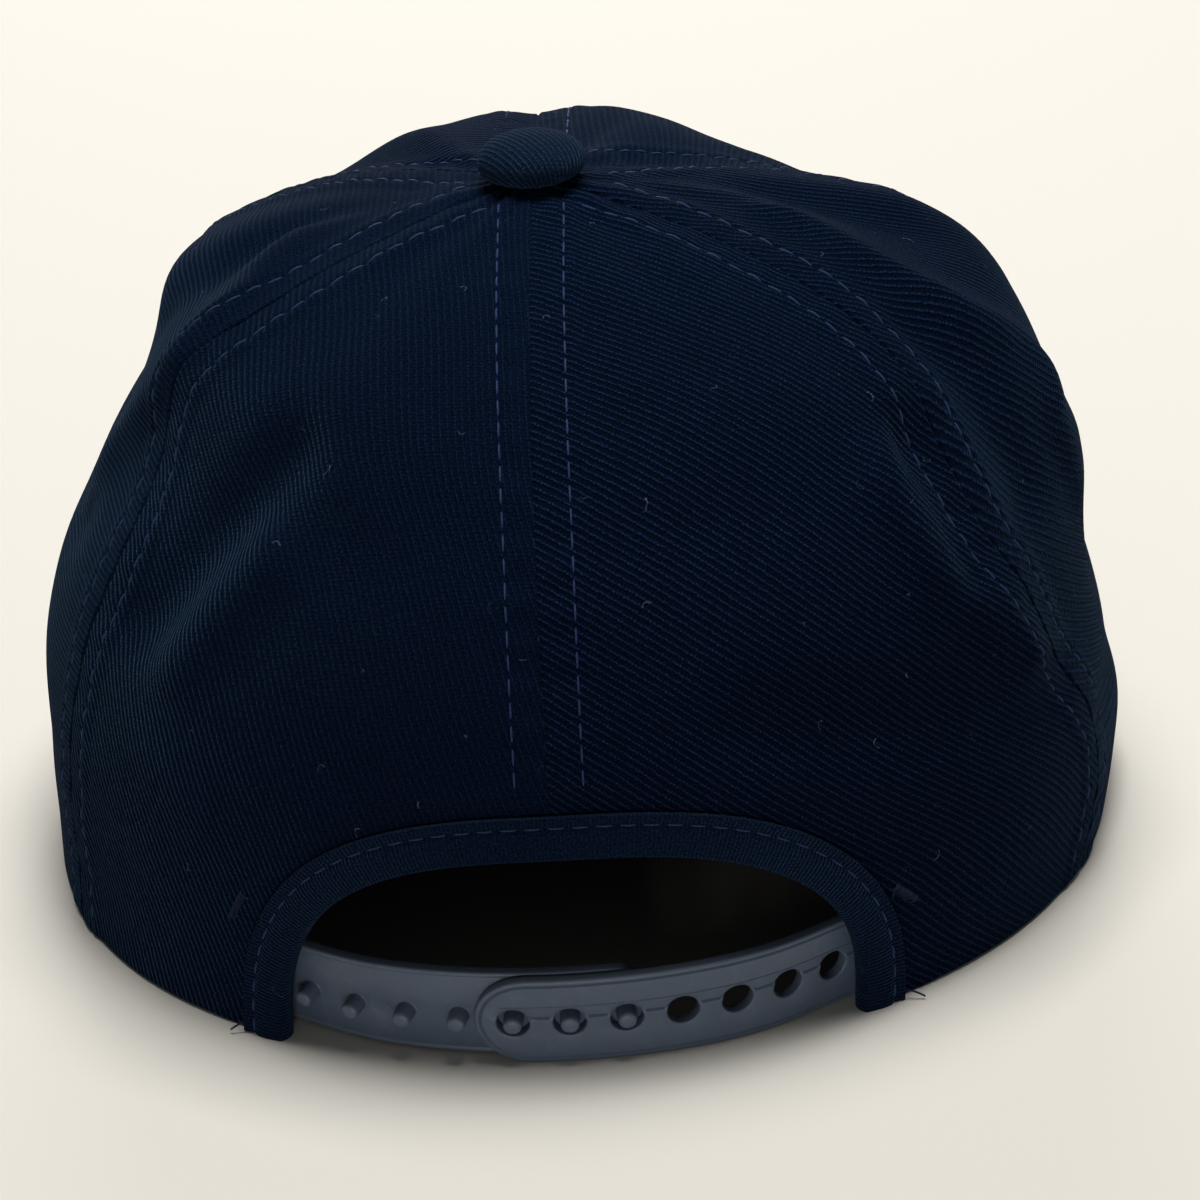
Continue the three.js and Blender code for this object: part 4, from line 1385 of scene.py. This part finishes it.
def edge_distance(flat, square, tip):
    """How far a place on the flat strap lies inside its outline, the square end left out"""
    half = STRAP_HEIGHT / 2
    sense = math.copysign(1.0, tip - square)
    past = np.maximum(sense * (flat[:, 0] - (tip - sense * half)), 0)
    return half - np.hypot(past, flat[:, 1] - half)


def filled(loops, dots):
    """Triangles over closed loops and single dots on the flat strap"""
    points = []
    edges = []
    for loop in loops:
        first = len(points)
        points.extend(Vector(p) for p in loop)
        edges.extend((first + k, first + (k + 1) % len(loop)) for k in range(len(loop)))
    points.extend(Vector(p) for p in dots)
    flat, _, faces, _, _, _ = delaunay_2d_cdt(points, edges, [], 0, 1e-5)
    return np.array([[p[0], p[1]] for p in flat]), np.array(faces)


def from_nearest(flat, centres):
    """Distance from each place on the flat strap to the nearest snap"""
    return np.min([np.hypot(*(flat - np.array(centre)).T) for centre in centres], axis=0)


def plate(places, faces, outer, inner):
    """A closed plate of the strap over flat triangles, with walls along every open edge"""
    turn = places[:, 0] / STRAP_RADIUS
    points = np.concatenate([strap_point(turn, places[:, 1], depth) for depth in (outer, inner)])
    shift = len(places)
    pairs = np.concatenate([faces[:, [0, 1]], faces[:, [1, 2]], faces[:, [2, 0]]])
    _, where, uses = np.unique(np.sort(pairs, axis=1), axis=0, return_index=True, return_counts=True)
    open_edges = pairs[where[uses == 1]]
    walls = [[b, a, a + shift, b + shift] for a, b in open_edges.tolist()]
    return points, faces.tolist() + (faces[:, ::-1] + shift).tolist() + walls


def edge_drop(far, radius):
    """How far a face falls away within a rounded edge"""
    near = np.clip(radius - far, 0, radius)
    return radius - np.sqrt(radius**2 - near**2)


class CAP_OT_strap(bpy.types.Operator):
    """Build the two halves of the snap strap"""

    bl_idname = "cap.strap"
    bl_label = "Snap Strap"

    def execute(self, context):
        settings = context.scene.cap_strap
        finish = plastic_finish("navy_grey_plastic", settings)
        self.peg_half(settings, finish)
        self.hole_half(settings, finish)
        return {"FINISHED"}

    def outlines(self, settings, square, tip):
        """Loops along the strap's outline, one wherever the face bends"""
        insets = [settings.edge_round / MM * bend for bend in EDGE_BENDS]
        insets += [BORDER_AT - BORDER_WIDTH, BORDER_AT, BORDER_AT + BORDER_WIDTH]
        return [strap_outline(square, tip, inset) for inset in insets]

    def peg_half(self, settings, finish):
        """The inner half, with its pegs and mould mark"""
        square = -math.radians(STRAP_HIDDEN_DEG) * STRAP_RADIUS
        tip = along_strap(PEG_FIRST_STEP + SNAP_COUNT - 1 + STRAP_END_STEPS)
        centres = snap_centres(PEG_FIRST_STEP)
        mark = (along_strap(MOULD_MARK_STEP), SNAP_HEIGHT - MOULD_MARK_DROP)
        loops = self.outlines(settings, square, tip)
        loops += [circle(c, r) for c in centres for r in PEG["flat"][1:]]
        loops += [circle(mark, MOULD_MARK_RADIUS + ring) for ring in MOULD_MARK_RINGS]
        flat, faces = filled(loops, centres)
        far = edge_distance(flat, square, tip)
        inner = edge_drop(far, settings.edge_round / MM)
        border = settings.border_depth / MM * PEG_BORDER_SHARE * bell(far - BORDER_AT, BORDER_WIDTH / 2)
        from_mark = from_nearest(flat, [mark])
        sunk = 1 - smooth(from_mark, MOULD_MARK_RADIUS - MOULD_MARK_EDGE, MOULD_MARK_RADIUS)
        outer = STRAP_THICK - inner - border - MOULD_MARK_DEPTH * sunk
        places = flat.copy()
        for centre in centres:
            off = flat - np.array(centre)
            away = np.hypot(off[:, 0], off[:, 1])
            near = away < PEG["flat"][-1]
            scale = np.interp(away, PEG["flat"], PEG["radius"]) / np.maximum(away, 1e-9)
            places = np.where(near[:, None], np.array(centre) + off * scale[:, None], places)
            outer = np.where(near, STRAP_THICK + np.interp(away, PEG["flat"], PEG["out"]), outer)
        points, rows = plate(places, faces, outer, inner)
        piece = make_piece("strap_pegs_half", points, rows, finish, sharp_deg=STRAP_SHARP_DEG)
        fasten(piece, "strap_plastic", "strap_pegs")

    def hole_half(self, settings, finish):
        """The outer half, with its holes, the sunk band above them and the line inside its edge"""
        square = math.radians(STRAP_HIDDEN_DEG) * STRAP_RADIUS
        tip = along_strap(HOLE_FIRST_STEP - STRAP_END_STEPS)
        centres = snap_centres(HOLE_FIRST_STEP)
        rims = [HOLE_RADIUS + HOLE_ROUND * bend for bend in HOLE_BENDS]
        loops = self.outlines(settings, square, tip)
        loops += [circle(c, rim, HOLE_SIDES) for c in centres for rim in rims]
        start = centres[0][0] - HOLE_RADIUS - BAND_START
        edges = ((BAND_LOW, BAND_LOW_EDGE), (BAND_TOP, BAND_TOP_EDGE))
        lines = [SNAP_HEIGHT + (at + k * edge) for at, edge in edges for k in (-1, 0, 1)]
        band = np.array([(x, y) for x in np.arange(start, square, BAND_STEP) for y in lines])
        clear = from_nearest(band, centres) > HOLE_RADIUS + HOLE_ROUND + HOLE_CLEAR
        flat, faces = filled(loops, band[clear])
        middle = flat[faces].mean(axis=1)
        faces = faces[from_nearest(middle, centres) >= HOLE_RADIUS - HOLE_SLACK]
        far = edge_distance(flat, square, tip)
        drop = edge_drop(far, settings.edge_round / MM)
        hole_drop = edge_drop(np.maximum(from_nearest(flat, centres) - HOLE_RADIUS, 0), HOLE_ROUND)
        up = flat[:, 1] - SNAP_HEIGHT
        below, above = BAND_TOP_FADE
        sunk = smooth(up, BAND_LOW - BAND_LOW_EDGE, BAND_LOW + BAND_LOW_EDGE)
        sunk = sunk * (1 - smooth(up, BAND_TOP - below, BAND_TOP + above))
        groove = settings.border_depth / MM
        line = groove * bell(up - BAND_TOP, BAND_LINE)
        border = groove * bell(far - BORDER_AT, BORDER_WIDTH / 2)
        inside = smooth(flat[:, 0], start, start + BAND_START_FADE)
        low = STRAP_THICK + STRAP_GAP
        outer = low + STRAP_THICK - drop - hole_drop - inside * (BAND_DEPTH * sunk + line) - border
        inner = low + drop + hole_drop * HOLE_BACK_SHARE
        points, rows = plate(flat, faces, outer, inner)
        piece = make_piece("strap_holes_half", points, rows, finish, sharp_deg=STRAP_SHARP_DEG)
        fasten(piece, "strap_plastic", "strap_holes")


def seam_row(name, side, settings):
    """A stitch row beside a seam, from the rim or the opening up to the button"""
    low = ARCH_RISE + SEAM_ROW_OVER_ARCH if name == "rear_centre" else SEAM_ROW_LOW
    rise = np.linspace(low, SEAM_ROW_TOP, SEAM_ROW_STEPS)
    line = SEAM_LINES[name]
    width = np.interp(rise, line["rise"], line["width"])
    angle = np.interp(rise, line["rise"], line["angle"]) + side * settings.row_offset / MM / width
    return dressed(angle, rise, settings), wall_normal(angle, rise)


class CAP_OT_topstitch(bpy.types.Operator):
    """Sew the twin rows along the seams, the row on the binding and the rows on the peak"""

    bl_idname = "cap.topstitch"
    bl_label = "Topstitching"

    def execute(self, context):
        settings = context.scene.cap_cloth
        finish = thread_finish("navy_thread", settings.thread_colour)
        draw = np.random.default_rng(STITCH_SEED)
        rows = [
            stitches(*seam_row(name, side, settings), settings, draw.uniform(0, 1))
            for name in SEAM_NAMES
            for side in (-1, 1)
        ]
        fasten(make_piece("seam_topstitch", *gathered(rows), finish), "crown_cloth")
        angle, rise, per_angle, per_rise = tape_frame()
        a = angle + per_angle * TAPE_ROW
        r = rise + per_rise * TAPE_ROW
        depth = np.full(len(a), tape_face(TAPE_ROW))
        row = stitches(offset_crown(a, r, depth), wall_normal(a, r), settings)
        fasten(make_piece("binding_topstitch", *row, finish), "binding_tape")
        parts = []
        root, edge = peak_lines(PEAK_STITCH_STEPS)
        span = np.linalg.norm(edge - root, axis=-1)
        for inward in peak_rows():
            for top in (True, False):
                points = peak_point(root, edge, np.full((len(root), 1), inward), top)[:, 0]
                points = points[span > inward + PEAK_ROW_CLEAR]
                if len(points) > PEAK_ROW_LEAST:
                    normals = np.tile(UP if top else -UP, (len(points), 1))
                    parts.append(stitches(points, normals, settings, draw.uniform(0, 1)))
        fasten(make_piece("peak_topstitch", *gathered(parts), finish), "peak_cloth")
        return {"FINISHED"}


class CAP_OT_tacks(bpy.types.Operator):
    """Sew the bar tacks beside the opening, with their loose thread ends"""

    bl_idname = "cap.tacks"
    bl_label = "Bar Tacks"

    def execute(self, context):
        settings = context.scene.cap_cloth
        # Painted shade: the tack thread is darker than the topstitching, for the shade round the raised
        # bars
        finish = thread_finish("navy_thread_tacks", opaque(settings.thread_colour, TACK_PAINTED_SHADE))
        draw = np.random.default_rng(TACK_SEED)
        radius = settings.thread_width / MM / 2
        parts = []
        for angle_deg, rise, lean_deg in zip(*TACKS.values()):
            angle = np.radians([angle_deg])
            spot = dressed(angle, np.array([rise]), settings)[0]
            normal = wall_normal(angle, np.array([rise]))[0]
            parts += self.tack(spot, normal, lean_deg, radius, draw)
        for angle_deg, rise, reach in zip(*LOOSE_ENDS.values()):
            angle = np.radians([angle_deg])
            spot = crown(angle, np.array([rise]))[0]
            normal = wall_normal(angle, np.array([rise]))[0]
            parts.append(self.loose_end(spot, normal, math.copysign(reach, angle_deg), radius))
        fasten(make_piece("bar_tacks", *gathered(parts), finish), "crown_cloth")
        return {"FINISHED"}

    def tack(self, spot, normal, lean_deg, radius, draw):
        """A patch of close stitches with a few short ends"""
        level = unit(np.cross(UP, normal))
        lean = math.radians(lean_deg)
        along = level * math.cos(lean) + np.cross(normal, level) * math.sin(lean)
        across = np.cross(normal, along)
        half_width = TACK_STEP * (TACK_STITCHES - 1) / 2
        share = np.linspace(-1, 1, THREAD_STEPS)[:, None]
        bow = normal * (TACK_ARCH * (1 - share**2) - TACK_SUNK)
        threads = []
        for n in range(TACK_STITCHES):
            shift = n * TACK_STEP - half_width + draw.uniform(-TACK_JITTER, TACK_JITTER)
            reach = TACK_LENGTH / 2 * draw.uniform(*TACK_LENGTH_RANGE)
            slant = TACK_STEP * draw.uniform(*TACK_SLANT_RANGE)
            path = spot + along * (shift + slant * share) + across * reach * share + bow
            threads.append(tube(path, radius))
        run = np.linspace(0, 1, THREAD_STEPS)[:, None]
        for n in range(TACK_ENDS):
            start = spot + along * half_width * (n - TACK_ENDS // 2) - across * TACK_LENGTH / 3
            swing = draw.uniform(-TACK_END_SWING, TACK_END_SWING)
            heading = along * swing - across * draw.uniform(*TACK_END_RANGE)
            curl = along * draw.uniform(-TACK_END_CURL, TACK_END_CURL)
            path = start + heading * run + curl * run**2 + normal * TACK_END_LIFT * run
            threads.append(tube(path, radius * TACK_END_WIDTH))
        return threads

    def loose_end(self, spot, normal, reach, radius):
        """A thread end that stands out sideways at the foot of the tape"""
        run = np.linspace(0, 1, THREAD_STEPS)[:, None]
        near, more = LOOSE_END_OUT
        path = spot + normal * (near + more * run) + np.array([reach, 0.0, 0.0]) * run
        return tube(path - UP * LOOSE_END_SAG * run**2, radius * LOOSE_END_WIDTH)


class CAP_OT_stage(bpy.types.Operator):
    """Set up the floor, the soft light and the camera"""

    bl_idname = "cap.stage"
    bl_label = "Stage"

    def execute(self, context):
        settings = context.scene.cap_stage
        mesh = bpy.data.meshes.new("floor")
        signs = ((-1, -1), (1, -1), (1, 1), (-1, 1))
        mesh.from_pydata([(x * FLOOR_HALF, y * FLOOR_HALF, 0.0) for x, y in signs], [], [(0, 1, 2, 3)])
        mesh.materials.append(floor_finish("pale_floor", settings.floor_colour))
        floor = bpy.data.objects.new("floor", mesh)
        context.scene.collection.objects.link(floor)
        world = bpy.data.worlds.new("soft_room")
        world.use_nodes = True
        sky = world.node_tree.nodes["Background"]
        sky.inputs["Color"].default_value = SKY_COLOUR
        sky.inputs["Strength"].default_value = settings.ambient
        context.scene.world = world
        for name, (place, aim, size, power) in LAMPS.items():
            self.lamp(context, name, place, aim, size, getattr(settings, power))
        self.camera(context)
        context.scene.view_settings.view_transform = "Standard"
        return {"FINISHED"}

    def lamp(self, context, name, place, aim, size, power):
        """A square soft light that faces a point"""
        data = bpy.data.lights.new(name, "AREA")
        data.energy = power
        data.size = size
        data.color = LAMP_COLOUR
        lamp = bpy.data.objects.new(name, data)
        lamp.location = place
        lamp.rotation_euler = (Vector(aim) - Vector(place)).to_track_quat("-Z", "Y").to_euler()
        context.scene.collection.objects.link(lamp)

    def camera(self, context):
        """The camera, behind the cap and a little above it"""
        yaw = math.radians(CAMERA_YAW_DEG)
        rise = math.radians(CAMERA_RISE_DEG)
        roll = math.radians(CAMERA_ROLL_DEG)
        back = Vector((math.sin(yaw) * math.cos(rise), -math.cos(yaw) * math.cos(rise), math.sin(rise)))
        level = Vector((math.cos(yaw), math.sin(yaw), 0.0))
        upright = back.cross(level)
        right = level * math.cos(roll) - upright * math.sin(roll)
        up = level * math.sin(roll) + upright * math.cos(roll)
        data = bpy.data.cameras.new("photo_camera")
        data.sensor_width = SENSOR_WIDTH
        data.lens = CAMERA_FOCAL_PIXELS / IMAGE_PIXELS * SENSOR_WIDTH
        data.clip_start = CLIP_START
        camera = bpy.data.objects.new("photo_camera", data)
        facing = Matrix((right, up, back)).transposed().to_4x4()
        spot = (Vector(CAMERA_AIM) + back * CAMERA_DISTANCE) * MM
        camera.matrix_world = Matrix.Translation(spot) @ facing
        context.scene.collection.objects.link(camera)
        context.scene.camera = camera


class CAP_PT_sidebar(bpy.types.Panel):
    """Sizes and pieces of the cap"""

    bl_idname = "CAP_PT_sidebar"
    bl_label = "Cap"
    bl_space_type = "VIEW_3D"
    bl_region_type = "UI"
    bl_category = "Cap"

    def draw(self, context):
        layout = self.layout
        for group in (context.scene.cap_cloth, context.scene.cap_strap, context.scene.cap_stage):
            box = layout.box()
            for key in group.__annotations__:
                box.prop(group, key)
        for operator in OPERATORS:
            layout.operator(operator.bl_idname)


GROUPS = {"cap_cloth": CapCloth, "cap_strap": CapStrap, "cap_stage": CapStage}
OPERATORS = (
    CAP_OT_stage,
    CAP_OT_panels,
    CAP_OT_button,
    CAP_OT_binding,
    CAP_OT_peak,
    CAP_OT_strap,
    CAP_OT_topstitch,
    CAP_OT_tacks,
)


def register():
    """Adds the settings, the operators and the panel"""
    for name, group in GROUPS.items():
        bpy.utils.register_class(group)
        setattr(bpy.types.Scene, name, PointerProperty(type=group))
    for operator in OPERATORS:
        bpy.utils.register_class(operator)
    bpy.utils.register_class(CAP_PT_sidebar)


def unregister():
    """Takes them away again"""
    bpy.utils.unregister_class(CAP_PT_sidebar)
    for operator in reversed(OPERATORS):
        bpy.utils.unregister_class(operator)
    for name, group in reversed(GROUPS.items()):
        delattr(bpy.types.Scene, name)
        bpy.utils.unregister_class(group)


def main():
    """Builds the stage and every piece"""
    register()
    bpy.ops.cap.stage()
    bpy.ops.cap.panels()
    bpy.ops.cap.button()
    bpy.ops.cap.binding()
    bpy.ops.cap.peak()
    bpy.ops.cap.strap()
    bpy.ops.cap.topstitch()
    bpy.ops.cap.tacks()


if __name__ == "__main__":
    main()
